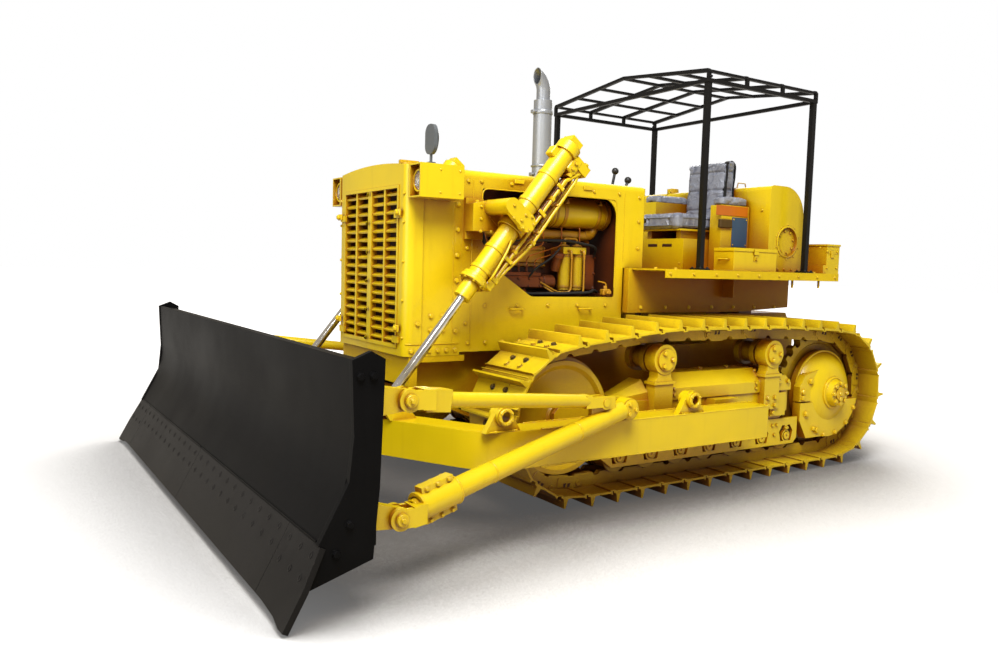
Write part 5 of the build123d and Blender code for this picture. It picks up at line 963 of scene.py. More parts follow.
# %% Braces
LOWER_FRONT, UPPER_FRONT = at(2.400, 1.830, 0.340), at(2.375, 1.850, 0.905)
LOWER_REAR = at(0.700, 1.504, PIN_Z)
BRACE_PIN = at(0.700, 1.556, PIN_Z)
CLAMP_HALF, CHEEK = 0.0285, 0.068
along = unit(LOWER_REAR - LOWER_FRONT)[0]
across = unit(np.cross(along, (0, 0, 1)))[0]
upward = np.cross(across, along)
inward = -across if across[1] > 0 else across
brace_parts = []
for distance in (0.175, 0.245, 0.315):
    for sign in (1, -1):
        spot = LOWER_FRONT + along * distance + upward * sign * 0.082
        brace_parts.append(stamp(hexagon(0.020, 0.011), spot - inward * CLAMP_HALF, axes_along([-inward])))
        brace_parts.append(stamp(hexagon(0.020, 0.013), spot + inward * CLAMP_HALF, axes_along([inward])))
for distance, radius in ((0.128, 0.075), (0.362, 0.075), (0.62, 0.060), (1.30, 0.060)):
    hoop = band(radius - 0.02, radius, 0.006, 0.003, 0.003)
    brace_parts.append(stamp(hoop, LOWER_FRONT + along * distance, axes_along([along])))
for pin in (LOWER_FRONT, UPPER_FRONT):
    for sign in (1, -1):
        face = pin + (0, sign * CHEEK, 0)
        axes = axes_along([(0, sign, 0)])
        brace_parts.append(stamp(disc(0.031, 0.008, 0.004, 0.003), face, axes))
        brace_parts.append(stamp(hexagon(0.024, 0.014), face + (0, sign * 0.007, 0), axes))
brace_parts.append(stamp(disc(0.058, 0.012, 0.006, 0.004, 36), BRACE_PIN - (0, 0.010, 0), TO_LEFT))
cap_bolts = circle_of(BRACE_PIN + (0, 0.001, 0), 0.034, 3, start=0.4)
brace_parts.append(stamp(hexagon(0.026, 0.014), cap_bolts, TO_LEFT))
turn_of_thread = revolved([(0.040, -0.004), (0.0485, -0.001), (0.0485, 0.001), (0.040, 0.004)], 28,
                          closed=True)
thread = [LOWER_FRONT + along * (0.098 + turn * 0.009) for turn in range(4)]
brace_parts.append(stamp(turn_of_thread, thread, axes_along([along])))
add("brace_fittings", both(join(*brace_parts)), "bolt_yellow", LIFT)
print("braces:", PIECES[-1])

# %% [markdown]
# ## Blade
# The cutting edge is held by plough bolts, whose heads are sunk flush and worn to shallow discs. The
# face is built of plates, so a fine seam crosses it, and its back has a bead down each rib.

# %% Cutting edge bolts and seams
BLADE = ["blade"]
plough = revolved([(0, -0.002), (0.017, -0.002), (0.017, 0.0008), (0.0135, 0.002), (0.008, 0.0012),
                   (0.007, -0.0006), (0, -0.0006)], 20)
rows = [at(3.4, y, z) for z in (0.305, 0.235) for y in np.linspace(0.08, 1.60, 11)]
rows = np.vstack([rows, grid(3.4, (1.76, 1.90, 2.03), (0.30, 0.21))])
add("plough_bolts", both(bolts_on(["cutting_edges"], rows, FROM_FRONT, plough, 2.0)), "edge_steel", LIFT)
seam = line_on(BLADE, grid(3.4, np.linspace(0.02, 2.02, 60), 0.352), FROM_FRONT, 0.0045, 0.001, 2.0)
add("blade_seams", both(seam), "black_paint", LIFT)
blade_parts = [bolts_on(BLADE, [at(x, 2.6, 1.055)], FROM_LEFT, medium) for x in (2.700, 2.640)]
end_bolts = bolts_on(BLADE, [at(2.80, 2.6, 0.30), at(2.74, 2.6, 0.42)], FROM_LEFT, medium)
for rib in (0.450, 1.050, 1.500):
    for side in (-0.0192, 0.0192):
        starts = grid(1.9, rib + side, np.linspace(0.46, 1.0, 24))
        blade_parts.append(line_on(BLADE, starts, FROM_REAR, 0.006, 0.003, 2.0))
add("blade_fittings", both(join(end_bolts, *blade_parts)), "black_paint", LIFT)
print("blade:", PIECES[-3:])

# %% [markdown]
# ## Lift cylinders
# A cylinder barrel carries its own plumbing: steel pipes run along its back, bands hold them, and a
# head block at the top takes the pipes' ends. Everything here rides on the barrel, so it swings with
# it when the blade is lifted. The parts are drawn along the cylinder's own axis: a place is a run down
# the axis from the pivot, a height above it towards the front, and a step to the side.

# %% Places along a barrel
AXIS = unit((0.62478, 0.0, -0.78080))[0]
ABOVE = unit((0.78080, 0.0, 0.62478))[0]
PIVOT = at(1.085, 0.790, 1.818)
BARREL_BOX = np.stack([AXIS, ACROSS, ABOVE])
DOWN_AXIS, UP_AXIS, BELOW = axes_along([AXIS]), axes_along([-AXIS]), axes_along([-ABOVE])
small, medium = hexagon(0.016, 0.010), hexagon(0.024, 0.014)
barrel_parts = []


def on_barrel(run, above=0.0, side=0.0):
    """A point run metres down the barrel's axis from its pivot, and above and beside that axis."""
    return PIVOT + run * AXIS + above * ABOVE + side * ACROSS


def ring_on_barrel(radius, run, count, start=0.0):
    """Points at equal angles round the barrel, at one place along it."""
    turn = start + np.arange(count) * 2 * np.pi / count
    return on_barrel(run) + radius * (np.cos(turn)[:, None] * ABOVE + np.sin(turn)[:, None] * ACROSS)


def fit(part, spots, axes=DOWN_AXIS):
    """Stamps a part on the barrel at places given as (run, above, side)."""
    barrel_parts.append(stamp(part, [on_barrel(*spot) for spot in spots], axes))


print("barrel axis:", np.round(AXIS, 4))

# %% [markdown]
# Four bands clamp the pipes to the barrel. The gland's flange is pulled up by a ring of bolts, the top
# is closed by a cap, and the two blocks beside it join the pipes to the barrel's ends.

# %% Bands, flange and head block
for run in (-0.40, -0.17, 0.235, 0.40):
    fit(band(0.066, 0.0745, 0.014, count=32), [(run,)])
    fit(block((0.030, 0.112, 0.012), 0.003), [(run, -0.122)], BARREL_BOX)
    for side in (-0.0505, 0.0505):
        fit(block((0.026, 0.010, 0.062), 0.002), [(run, -0.094, side)], BARREL_BOX)
        fit(hexagon(0.013, 0.009), [(run, -0.127, side * 0.8)], BELOW)
fit(band(0.064, 0.094, 0.012, 0.002, 0.003), [(0.490,)])
barrel_parts.append(stamp(small, ring_on_barrel(0.082, 0.478, 8, 0.35), UP_AXIS))
barrel_parts.append(stamp(small, ring_on_barrel(0.082, 0.502, 8, 0.35), DOWN_AXIS))
for size, spot, bevel in (((0.074, 0.100, 0.060), (0.440, -0.092), 0.006),
                          ((0.120, 0.118, 0.082), (-0.585, -0.086), 0.010),
                          ((0.070, 0.070, 0.050), (-0.560, 0.080), 0.006)):
    fit(block(size, bevel), [spot], BARREL_BOX)
fit(small, [(run, -0.127, side) for run in (-0.62, -0.585, -0.55) for side in (-0.040, 0.040)], BELOW)
for side in (-0.059, 0.059):
    fit(medium, [(-0.60, -0.085, side), (-0.555, -0.085, side)], axes_along([(0, side, 0)]))
cap = revolved([(0, 0), (0.062, 0), (0.074, 0.006), (0.078, 0.012), (0.078, 0.036), (0.068, 0.036)], 36)
fit(cap, [(-0.648,)])
barrel_parts.append(stamp(small, ring_on_barrel(0.050, -0.646, 8), UP_AXIS))
fit(hexagon(0.034, 0.020), [(-0.647,)], UP_AXIS)
print("barrel parts so far:", len(barrel_parts))

# %% [markdown]
# Three pipes come out of the head block with a short bend and end in a nut. Two more run outside the
# bands, bent out where they pass the pivot, and a thin return pipe goes round the barrel's side.

# %% Pipes and their nuts
NUT = band(0.012, 0.022, 0.013, 0.0015, 0.004, 6)
THIN_NUT = band(0.011, 0.0205, 0.012, 0.0015, 0.003, 6)
for side in (-0.034, 0.0, 0.034):
    fit(NUT, [(run, -0.104, side) for run in (-0.515, -0.30, 0.16, 0.385)])
    bend = [on_barrel(-0.585, -0.12, side), on_barrel(-0.585, -0.158, side), on_barrel(-0.66, -0.165, side)]
    barrel_parts.append(swept(bend, 0.0115, corner=0.03))
    fit(hexagon(0.034, 0.018), [(-0.655, -0.165, side)], UP_AXIS)
for side in (-0.030, 0.030):
    outer = ((-0.575, -0.118), (-0.560, -0.172), (0.02 + side, -0.178), (0.30 + side, -0.125), (0.43, -0.112))
    barrel_parts.append(swept([on_barrel(*spot, side) for spot in outer], 0.0125, corner=0.07))
    fit(THIN_NUT, [(side - 0.01, -0.178, side)])
for run in (-0.30, -0.06):
    fit(block((0.022, 0.090, 0.010), 0.002), [(run, -0.160)], BARREL_BOX)
    fit(block((0.022, 0.014, 0.050), 0.002), [(run, -0.136)], BARREL_BOX)
returned = ((0.44, -0.06, 0.062), (0.40, -0.05, 0.092), (0.20, -0.03, 0.088), (0.13, -0.02, 0.066))
barrel_parts.append(swept([on_barrel(*spot) for spot in returned], 0.008, corner=0.05))
fit(band(0.080, 0.0915, 0.004, 0.0005, 0.002), [(-0.060,), (0.060,)])
left = join(*barrel_parts)
add("barrel_fittings_left", left, "yellow_paint", "barrel_left")
add("barrel_fittings_right", mirrored(left), "yellow_paint", "barrel_right")
print("cylinder:", PIECES[-2])

# %% [markdown]
# The rod's eye holds a ball bushing between two rings, with a grease nipple on top. The yoke's cheek
# is closed by a bolted cap over the barrel's pivot.

# %% Rod eyes and yoke caps
EYE = at(1.970, 0.790, 0.712)
YOKES = ["cylinder_yokes"]
ring = flat_ring(0.040, 0.052, 0.006, 0.003, 0.002, foot=-0.001)
eye_parts = [stamp(ring, EYE + (0, sign * 0.0302, 0), axes_along([(0, sign, 0)])) for sign in (1, -1)]
nipple = revolved([(0, 0), (0.006, 0), (0.006, 0.006), (0.0035, 0.008), (0.004, 0.013), (0, 0.015)], 10)
eye_parts.append(stamp(nipple, EYE + (0.04485, 0, 0.03565), axes_along([(0.78, 0, 0.62)])))
left = join(*eye_parts)
add("rod_eye_rings_left", left, "yellow_paint", "rod_left")
add("rod_eye_rings_right", mirrored(left), "yellow_paint", "rod_right")
beside = PIVOT * (1, 0, 1) + (0, 1.3, 0)
cheek, _ = hits(YOKES, beside, FROM_LEFT)
yoke_cap = revolved([(0, -0.001), (0.036, -0.001), (0.036, 0.006), (0.031, 0.010), (0.012, 0.010),
                     (0.010, 0.006), (0, 0.006)], 28)
yoke_parts = [bolts_on(YOKES, circle_of(beside, 0.049, 6, start=0.3), FROM_LEFT, small),
              stamp(yoke_cap, cheek, TO_LEFT),
              bolts_on(YOKES, grid((1.15, 1.27), (0.62, 0.69), 2.4), FROM_ABOVE, medium, 0.8),
              bolts_on(YOKES, grid((1.19, 1.27), 1.3, (1.76, 1.84, 1.92)), FROM_LEFT, small, 0.74)]
add("yoke_bolts", both(join(*yoke_parts)), "bolt_yellow")
print("yoke:", PIECES[-1])

# %% [markdown]
# ## Guard, grille and lamps
# The radiator guard is a heavy box of plate bolted to the hull along its foot, with its front a
# casting. The grille is held in it by turn clamps.

# %% Radiator guard
GUARD, GRILLE_FRONT = ["radiator_guard"], 1.768
lower_side = [at(x, 1.2, z)
              for x, z in ((1.47, 1.20), (1.56, 1.20), (1.47, 1.11), (1.56, 1.11), (1.66, 1.15))]
from_side = np.vstack([grid(np.linspace(1.375, 1.70, 6), 1.2, 0.975),
                       grid(1.375, 1.2, np.linspace(1.10, 2.10, 7)), lower_side])
guard_parts = [bolts_on(GUARD, from_side, FROM_LEFT, hexagon(0.026, 0.014)),
               bolts_on(GUARD, grid(2.2, 0.516, (1.06, 1.30, 1.55, 1.80, 1.98)), FROM_FRONT, small),
               line_on(GUARD, grid(1.402, 1.2, np.linspace(0.955, 2.09, 40)), FROM_LEFT, 0.0020, 0.0002),
               line_on(GUARD, grid(np.linspace(1.35, 1.735, 24), 1.2, 1.02), FROM_LEFT, 0.005, 0.001)]
add("guard_bolts", both(join(*guard_parts)), "bolt_yellow")
clamps = []
for z in (1.12, 1.86):
    front = at(GRILLE_FRONT, 0.462, z)
    clamps.append(slab(front + (0.0, -0.012, -0.022), front + (0.012, 0.052, 0.022), 0.003))
    clamps.append(stamp(hexagon(0.028, 0.018), front + (0.012, 0.026, 0), TO_FRONT))
clamps.append(stamp(hexagon(0.020, 0.012), grid(GRILLE_FRONT, 0.0, np.linspace(1.02, 2.0, 6)), TO_FRONT))
add("grille_clamps", both(join(*clamps)), "bolt_yellow")
print("guard:", PIECES[-2:])

# %% [markdown]
# Each lamp is a bowl with a lens in a bezel, set in the mouth of its box. The mirror is a flat glass
# in a grey shell.

# %% Lamps and mirror glass
LAMPS = ["headlights"]
lamp_at = hits(LAMPS, at(2.2, 0.645, 2.055), FROM_FRONT)[0] + (0.022, 0, 0)
bowl = revolved([(0, 0.0), (0.030, 0.003), (0.052, 0.016), (0.062, 0.034), (0.066, 0.036), (0.066, -0.004),
                 (0, -0.004)], 36)
lens = revolved([(0, 0.030), (0.0615, 0.030), (0.060, 0.036), (0.045, 0.043), (0.022, 0.047), (0, 0.048)], 36)
bezel = revolved([(0.060, 0.028), (0.071, 0.028), (0.073, 0.031), (0.073, 0.042), (0.069, 0.045),
                  (0.060, 0.042)], 36, closed=True)
for name, part, finish in (("lamp_bowls", bowl, "chrome"), ("lamp_lenses", lens, "lamp_glass"),
                           ("lamp_bezels", bezel, "yellow_paint")):
    add(name, both(stamp(part, lamp_at, TO_FRONT)), finish)
box_bolts = bolts_on(LAMPS, grid((1.48, 1.66), 0.64, 3.0), FROM_ABOVE, small, 2.0)
box_rivets = bolts_on(LAMPS, grid((1.46, 1.60), 1.3, (1.985, 2.125)), FROM_LEFT, dome(0.008, 0.005))
add("lamp_box_bolts", both(join(box_bolts, box_rivets)), "bolt_yellow")
glass = plate(ring_outline(1.0, 40) * (0.052, 0.082), 0.002, 0.001)
mirror_at = (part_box("mirror")[0].x - 0.0012, 0.690, 2.3075)
add("mirror_glass", stamp(glass, mirror_at, np.array([(0, -1, 0), (0, 0, 1), (-1, 0, 0)])), "chrome")
print("lamps and mirror:", PIECES[-5:])

# %% [markdown]
# ## Hood and exhaust
# The hood's top is two sheets hinged on a seam, its sides are screwed on, and the stack is clamped
# to its neck by a band with one cross bolt.

# %% Hood
HOOD = ["hood"]
side_starts = [grid((-0.215, -0.12), 1.2, (1.12, 1.30, 1.48)), grid(np.linspace(0.10, 1.15, 5), 1.2, 1.27),
               grid(1.30, 1.2, (1.15, 1.40, 1.65, 1.90, 2.09)), grid(np.linspace(0.0, 1.2, 6), 1.2, 2.095),
               grid(-0.20, 1.2, (1.70, 1.90, 2.08))]
hood_parts = [bolts_on(HOOD, np.vstack(side_starts), FROM_LEFT, hexagon(0.020, 0.011)),
              bolts_on(HOOD, grid(np.linspace(-0.20, 1.28, 8), (0.10, 0.47), 2.6), FROM_ABOVE,
                        dome(0.011, 0.006)),
              line_on(HOOD, grid(1.262, 1.2, np.linspace(0.98, 2.10, 40)), FROM_LEFT, 0.0026),
              line_on(HOOD, grid(-0.055, 1.2, np.linspace(1.60, 2.10, 22)), FROM_LEFT, 0.0026)]
for y in (0.018, 0.30):
    hood_parts.append(line_on(HOOD, grid(np.linspace(-0.24, 1.33, 40), y, 2.6), FROM_ABOVE, 0.0028))
opening_edge = [(0.02, 0.5525, 1.40), (0.02, 0.5525, 2.05), (1.19, 0.5525, 2.05), (1.19, 0.5525, 1.70)]
hood_parts.append(pipe(opening_edge, 0.0045, 0.05, 8))
for x in (0.30, 0.90):
    hood_parts.append(box((x - 0.04, 0.5515, 2.10), (x + 0.04, 0.562, 2.128)))
    handle = [(x + dx, y, 1.245) for dx, y in ((-0.05, 0.56), (-0.05, 0.592), (0.05, 0.592), (0.05, 0.56))]
    hood_parts.append(pipe(handle, 0.006, 0.015))
add("hood_fittings", both(join(*hood_parts)), "bolt_yellow")
print("hood:", PIECES[-1])

# %% [markdown]
# The stack's two bands are clamped by a lug with a bolt, and a collar sheds the rain where the stack
# comes through the hood.

# %% Exhaust
STACK, STACK_RADIUS = at(0.400, 0.100, 0.0), 0.071
stack_parts = []
for z in (2.235, 2.70):
    hoop = band(STACK_RADIUS - 0.006, STACK_RADIUS + 0.006, 0.014, 0.002, 0.004)
    stack_parts.append(stamp(hoop, STACK + (0, 0, z)))
    lug = STACK + (STACK_RADIUS, 0, z)
    stack_parts.append(slab(lug - (0, 0.018, 0.013), lug + (0.030, 0.018, 0.013), 0.003))
    stack_parts.append(stamp(small, lug + (0.018, 0.018, 0), TO_LEFT))
stack_parts.append(stamp(beaded(0.066, 0.080, 0.006), STACK + (0, 0, 2.30)))
add("exhaust_bands", join(*stack_parts), "exhaust_steel")
rain_collar = revolved([(0.070, -0.001), (0.110, -0.001), (0.112, 0.004), (0.108, 0.010), (0.074, 0.014),
                        (0.070, 0.014)], 36, closed=True)
collar_bolts = stamp(small, circle_of(STACK + (0, 0, 2.172), 0.095, 6, (0, 0, 1)))
add("exhaust_collar", join(stamp(rain_collar, STACK + (0, 0, 2.1655)), collar_bolts), "yellow_paint")
print("stack:", PIECES[-2:])

# %% [markdown]
# ## Engine bay
# Through the side opening one sees the fuel side of a diesel engine. A long injection pump sends one
# thin steel pipe to every cylinder, and two filters hang beside it. Above them run the intake duct
# and the air cleaner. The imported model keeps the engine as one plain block, so the covers and pipes
# are drawn on its side, where the makers bolt them.

# %% Walls, side covers, heads and manifold
BLOCK_SIDE = 0.300
CYLINDERS_X = np.linspace(0.20, 1.05, 6)
walls = [box((-0.055, -0.538, 1.30), (-0.040, 0.538, 2.150), 0.002),
         box((-0.040, -0.020, 1.840), (1.250, 0.020, 2.145), 0.002),
         box((-0.040, -0.536, 1.31), (-0.010, 0.536, 1.35), 0.004)]
add("engine_walls", join(*walls), "engine_iron")
engine_parts, cover_parts = [], []
for x in (0.50, 0.815):
    cover_parts.append(box((x, BLOCK_SIDE - 0.004, 1.535), (x + 0.30, BLOCK_SIDE + 0.030, 1.690), 0.010))
    cover_parts.append(box((x + 0.03, BLOCK_SIDE + 0.026, 1.565), (x + 0.27, BLOCK_SIDE + 0.040, 1.660),
                           0.008))
    corners = grid((x + 0.015, x + 0.15, x + 0.285), BLOCK_SIDE + 0.030, (1.550, 1.675))
    cover_parts.append(stamp(small, corners, TO_LEFT))
for x in CYLINDERS_X:
    cover_parts.append(box((x - 0.062, 0.115, 1.815), (x + 0.062, 0.290, 1.872), 0.012))
    cover_parts.append(stamp(small, grid((x - 0.035, x + 0.035), 0.20, 1.872)))
    engine_parts.append(box((x - 0.066, 0.10, 1.715), (x + 0.066, 0.305, 1.818), 0.006))
    engine_parts.append(stamp(medium, grid((x - 0.05, x + 0.05), 0.305, 1.74), TO_LEFT))
cover_parts.append(pipe([(0.14, 0.335, 1.780), (1.10, 0.335, 1.780)], 0.040, sides=18))
for x in CYLINDERS_X:
    cover_parts.append(pipe([(x, 0.295, 1.770), (x, 0.335, 1.775)], 0.028, sides=14))
cover_parts.append(pipe([(0.16, 0.335, 1.785), (0.08, 0.335, 1.79), (0.06, 0.335, 1.90)], 0.042, 0.07, 18))
print("cover parts:", len(cover_parts))

# %% [markdown]
# The pump is a long block with its governor at one end and its drive at the other. A delivery valve
# stands on it for each cylinder, and from there a pipe climbs to the cylinder's head.

# %% Injection pump and its pipes
PUMP_Y, VALVES_X = 0.360, np.linspace(0.615, 0.965, 6)
governor = revolved([(0, 0), (0.052, 0), (0.056, 0.005), (0.056, 0.095), (0.046, 0.105), (0, 0.105)], 28)
coupling = revolved([(0, 0), (0.040, 0), (0.044, 0.004), (0.044, 0.055), (0, 0.055)], 24)
valve = revolved([(0, 0), (0.0115, 0), (0.0115, 0.016), (0.0085, 0.018), (0.0085, 0.034), (0.011, 0.036),
                  (0.011, 0.050), (0.005, 0.054), (0, 0.054)], 6)
engine_parts += [box((0.56, 0.305, 1.385), (1.02, 0.415, 1.470), 0.010),
                 box((0.58, 0.320, 1.468), (1.00, 0.400, 1.498), 0.006),
                 stamp(governor, at(0.460, PUMP_Y, 1.430), TO_FRONT),
                 stamp(coupling, at(1.018, PUMP_Y, 1.430), TO_FRONT),
                 stamp(valve, grid(VALVES_X, PUMP_Y, 1.496)),
                 stamp(small, grid(np.linspace(0.60, 0.98, 5), 0.415, (1.400, 1.455)), TO_LEFT)]
injection = []
for index, (start, cylinder) in enumerate(zip(VALVES_X, CYLINDERS_X)):
    depth, level, end = 0.385 + 0.010 * index, 1.575 + 0.022 * (index % 3), cylinder + 0.03
    injection.append(pipe([(start, PUMP_Y, 1.545), (start, PUMP_Y, level), (start, depth, level + 0.02),
                           (end, depth, 1.700), (end, 0.385, 1.850), (end, 0.290, 1.868)], 0.0042, 0.04, 8))
add("injection_pipes", join(*injection), "panel_orange")
add("engine_covers", join(*cover_parts), "engine_cover")
print("pipes and covers:", PIECES[-2:])

# %% [markdown]
# Two spin-on fuel filters hang from a bracket in front of the pump, joined to it and to each other by
# thin pipes.

# %% Filters
FILTERS_X, FILTER_Y = (0.262, 0.378), 0.395
filter_parts = []
for x in FILTERS_X:
    bands = grid(x, FILTER_Y, (1.400, 1.628))
    filter_parts.append(stamp(band(0.044, 0.052, 0.008, 0.0015, 0.004, 28), bands))
    lid = revolved([(0, 0), (0.036, 0), (0.042, 0.006), (0.042, 0.012), (0.022, 0.020), (0, 0.021)], 24)
    filter_parts.append(stamp(lid, at(x, FILTER_Y, 1.689)))
    filter_parts.append(stamp(hexagon(0.024, 0.022), at(x, FILTER_Y, 1.708)))
    filter_parts.append(stamp(hexagon(0.018, 0.016), at(x, FILTER_Y, 1.356), axes_along([FROM_ABOVE])))
    filter_parts.append(pipe([(x, 0.44, 1.662), (x, 0.485, 1.662), (x, 0.490, 1.60)], 0.009, 0.02))
filter_parts.append(pipe([(0.262, 0.490, 1.61), (0.262, 0.492, 1.345), (0.50, 0.47, 1.345),
                          (0.57, 0.415, 1.40)],
                         0.007, 0.04))
filter_parts.append(pipe([(0.378, 0.490, 1.61), (0.378, 0.492, 1.36), (0.48, 0.46, 1.36),
                          (0.60, 0.415, 1.43)],
                         0.007, 0.04))
filter_parts.append(pipe([(0.262, FILTER_Y, 1.72), (0.262, FILTER_Y, 1.752), (0.378, FILTER_Y, 1.752),
                          (0.378, FILTER_Y, 1.72)], 0.008, 0.02))
add("filter_fittings", join(*filter_parts), "engine_cover")
print("filters:", PIECES[-1])

# %% [markdown]
# The starter lies under the pump, the alternator sits at the front with its fan belt's pulley, and a
# cooler, the oil filler and the sump's flange fill the rest of the engine's side.

# %% Starter, alternator and sump
starter = revolved([(0, 0), (0.045, 0), (0.050, 0.006), (0.050, 0.20), (0.058, 0.205), (0.058, 0.240),
                    (0, 0.240)], 28)
alternator = revolved([(0, 0), (0.060, 0), (0.068, 0.010), (0.068, 0.085), (0.060, 0.095), (0.012, 0.095),
                       (0.012, 0.110), (0.055, 0.110), (0.055, 0.118), (0.044, 0.123), (0.055, 0.128),
                       (0.055, 0.136), (0, 0.136)], 28)
filler = revolved([(0, 0), (0.034, 0), (0.034, 0.10), (0.046, 0.105), (0.046, 0.130), (0.038, 0.138),
                   (0, 0.138)], 24)
engine_parts += [stamp(starter, at(0.720, 0.380, 1.335), TO_FRONT),
                 stamp(alternator, at(1.045, 0.400, 1.590), TO_FRONT),
                 box((0.07, 0.302, 1.370), (0.185, 0.385, 1.640), 0.012),
                 stamp(small, grid((0.085, 0.170), 0.385, (1.39, 1.50, 1.62)), TO_LEFT),
                 stamp(filler, at(0.455, 0.385, 1.52), axes_along([(0, 0.35, 0.94)])),
                 box((0.06, 0.29, 1.325), (1.17, 0.325, 1.372), 0.006),
                 stamp(medium, grid(np.linspace(0.09, 1.14, 12), 0.325, 1.350), TO_LEFT),
                 box((1.02, 0.28, 1.36), (1.17, 0.46, 1.48), 0.012)]
add("engine_fittings", join(*engine_parts), "engine_iron")
print("engine side:", PIECES[-1])

# %% [markdown]
# Rubber hoses bring coolant and fuel, each held at both ends. A drain valve stands on the sill.

# %% Hoses and drain valve
hoses = [pipe([(1.10, 0.46, 1.42), (1.14, 0.50, 1.46), (1.15, 0.50, 1.75), (1.22, 0.44, 1.88)],
              0.026, 0.08, 14),
         pipe([(0.10, 0.40, 1.63), (0.12, 0.46, 1.70), (0.40, 0.47, 1.735), (0.95, 0.47, 1.72),
               (1.05, 0.44, 1.66)],
              0.010, 0.08, 8),
         pipe([(0.06, 0.40, 1.36), (0.15, 0.47, 1.38), (0.20, 0.50, 1.36), (0.45, 0.505, 1.352),
               (0.74, 0.43, 1.345)],
              0.012, 0.06, 10),
         pipe([(0.70, 0.42, 1.47), (0.68, 0.47, 1.53), (0.56, 0.48, 1.60), (0.47, 0.47, 1.68)],
              0.008, 0.05, 8)]
add("engine_hoses", join(*hoses), "rubber")
valve_parts = [box((0.045, 0.500, 1.342), (0.115, 0.548, 1.388), 0.006),
               box((0.060, 0.545, 1.352), (0.100, 0.575, 1.378), 0.004),
               stamp(hexagon(0.026, 0.026), at(0.080, 0.523, 1.386)),
               pipe([(0.075, 0.523, 1.40), (0.075, 0.523, 1.432), (0.150, 0.523, 1.445)], 0.006, 0.02)]
add("sill_valve", join(*valve_parts), "engine_cover")
print("hoses and valve:", PIECES[-2:])

# %% [markdown]
# The air cleaner is a drum in two straps with beads pressed into its wall, and a bent duct with a
# rubber sleeve leads from its front to the engine.

# %% Air cleaner
CLEANER = at(0.0, 0.330, 1.945)
STRAPS_X = (0.09, 0.40)
cleaner_parts = [stamp(band(0.110, 0.1195, 0.014, count=40), [CLEANER + (x, 0, 0) for x in STRAPS_X],
                       TO_FRONT),
                 stamp(beaded(0.108, 0.121, 0.006, count=40),
                       [CLEANER + (x, 0, 0) for x in (0.02, 0.475, 0.505)],
                       TO_FRONT)]
for x in STRAPS_X:
    lug = CLEANER + (x - 0.013, 0.100, 0.060)
    cleaner_parts.append(slab(lug, CLEANER + (x + 0.013, 0.128, 0.074), 0.002))
    cleaner_parts.append(stamp(hexagon(0.014, 0.020), CLEANER + (x, 0.118, 0.072)))
cleaner_parts.append(pipe([(0.500, 0.330, 1.945), (0.640, 0.330, 1.945), (0.700, 0.300, 1.900),
                           (0.720, 0.200, 1.885)], 0.062, 0.08, 22))
add("cleaner_straps", join(*cleaner_parts), "engine_cover")
sleeve = revolved([(0.060, -0.035), (0.067, -0.035), (0.069, -0.02), (0.067, 0.0), (0.069, 0.02),
                   (0.067, 0.035), (0.060, 0.035)], 32, closed=True)
add("duct_sleeve", stamp(sleeve, at(0.585, 0.330, 1.945), TO_FRONT), "rubber")
print("air cleaner:", PIECES[-2:])

# %% [markdown]
# ## Deck
# The deck carries the seat, its consoles, the toolbox, the fuel tank and the canopy. All are sheet
# metal boxes, so hinges, hasps, weld beads and screw heads tell their size.

# %% Consoles and seat base
PANEL_LOW, PANEL_HIGH = (-1.345, 0.600, 1.745), (-1.165, 0.606, 1.985)
add("blue_panel", box(PANEL_LOW, PANEL_HIGH, 0.002), "blue_plate")
panel_screws = grid((PANEL_LOW[0] + 0.014, PANEL_HIGH[0] - 0.014), PANEL_HIGH[1], (1.762, 1.968))
deck_parts = [stamp(dome(0.007, 0.004), panel_screws, TO_LEFT)]
add("dark_box", box((-1.150, 0.590, 1.895), (-1.010, 0.622, 1.965), 0.006), "bolt_dark")
add("console_side", box((-1.345, 0.599, 1.995), (-0.975, 0.6045, 2.075), 0.002), "panel_orange")
console_screws = grid((-1.34, -0.985), 1.3, (1.60, 1.72, 2.105))
deck_parts.append(bolts_on(["consoles"], console_screws, FROM_LEFT, dome(0.008, 0.005)))
base_screws = grid(-0.4, (-0.03, 0.43), (1.60, 1.85))
deck_parts.append(bolts_on(["seat_base"], base_screws, FROM_FRONT, dome(0.009, 0.005)))
# The slots are not cut. Thin dark slabs on the base's front stand in for the shade inside them, as painted
# shade.
front, _ = hits(["seat_base"], grid(-0.4, (0.115, 0.285), 1.745), FROM_FRONT)
slot_shade = [slab(spot + (-0.004, -0.055, -0.012), spot + (0.0012, 0.055, 0.012), 0.001) for spot in front]
add("seat_base_slots", join(*slot_shade), "core_black")
print("consoles:", PIECES[-4:])

# %% [markdown]
# The toolbox lid turns on a piano hinge and is shut by a hasp over a staple. What is screwed to the
# lid rides on the lid's body.

# %% Toolbox
LID_SIDE = 0.9085
hasp = [box((-1.145, LID_SIDE, 1.678), (-1.090, LID_SIDE + 0.004, 1.722), 0.001),
        stamp(dome(0.005, 0.003), grid((-1.130, -1.105), LID_SIDE + 0.004, 1.712), TO_LEFT)]
add("lid_hasp", join(*hasp), "yellow_paint", "lid")
staple = [(-1.1175, y, z) for y, z in ((0.902, 1.636), (0.918, 1.636), (0.918, 1.657), (0.902, 1.657))]
handle = [(x, y, 1.640) for x, y in ((-0.868, 0.760), (-0.845, 0.760), (-0.845, 0.850), (-0.868, 0.850))]
foot = [(-1.365, 0.902), (-0.872, 0.902), (-0.867, 0.90), (-0.867, 0.705)]
deck_parts += [box((-1.140, 0.900, 1.628), (-1.095, 0.904, 1.665), 0.001), pipe(staple, 0.003, 0.008),
               pipe(handle, 0.006, 0.012), weld_bead([at(x, y, 1.553) for x, y in foot], 0.004)]
print("hasp:", PIECES[-1])

# %% [markdown]
# The fuel tank's round pressing has a raised rim with bolts inside and rivets outside. Two seams run
# over its back and a screwed cap stands on top.

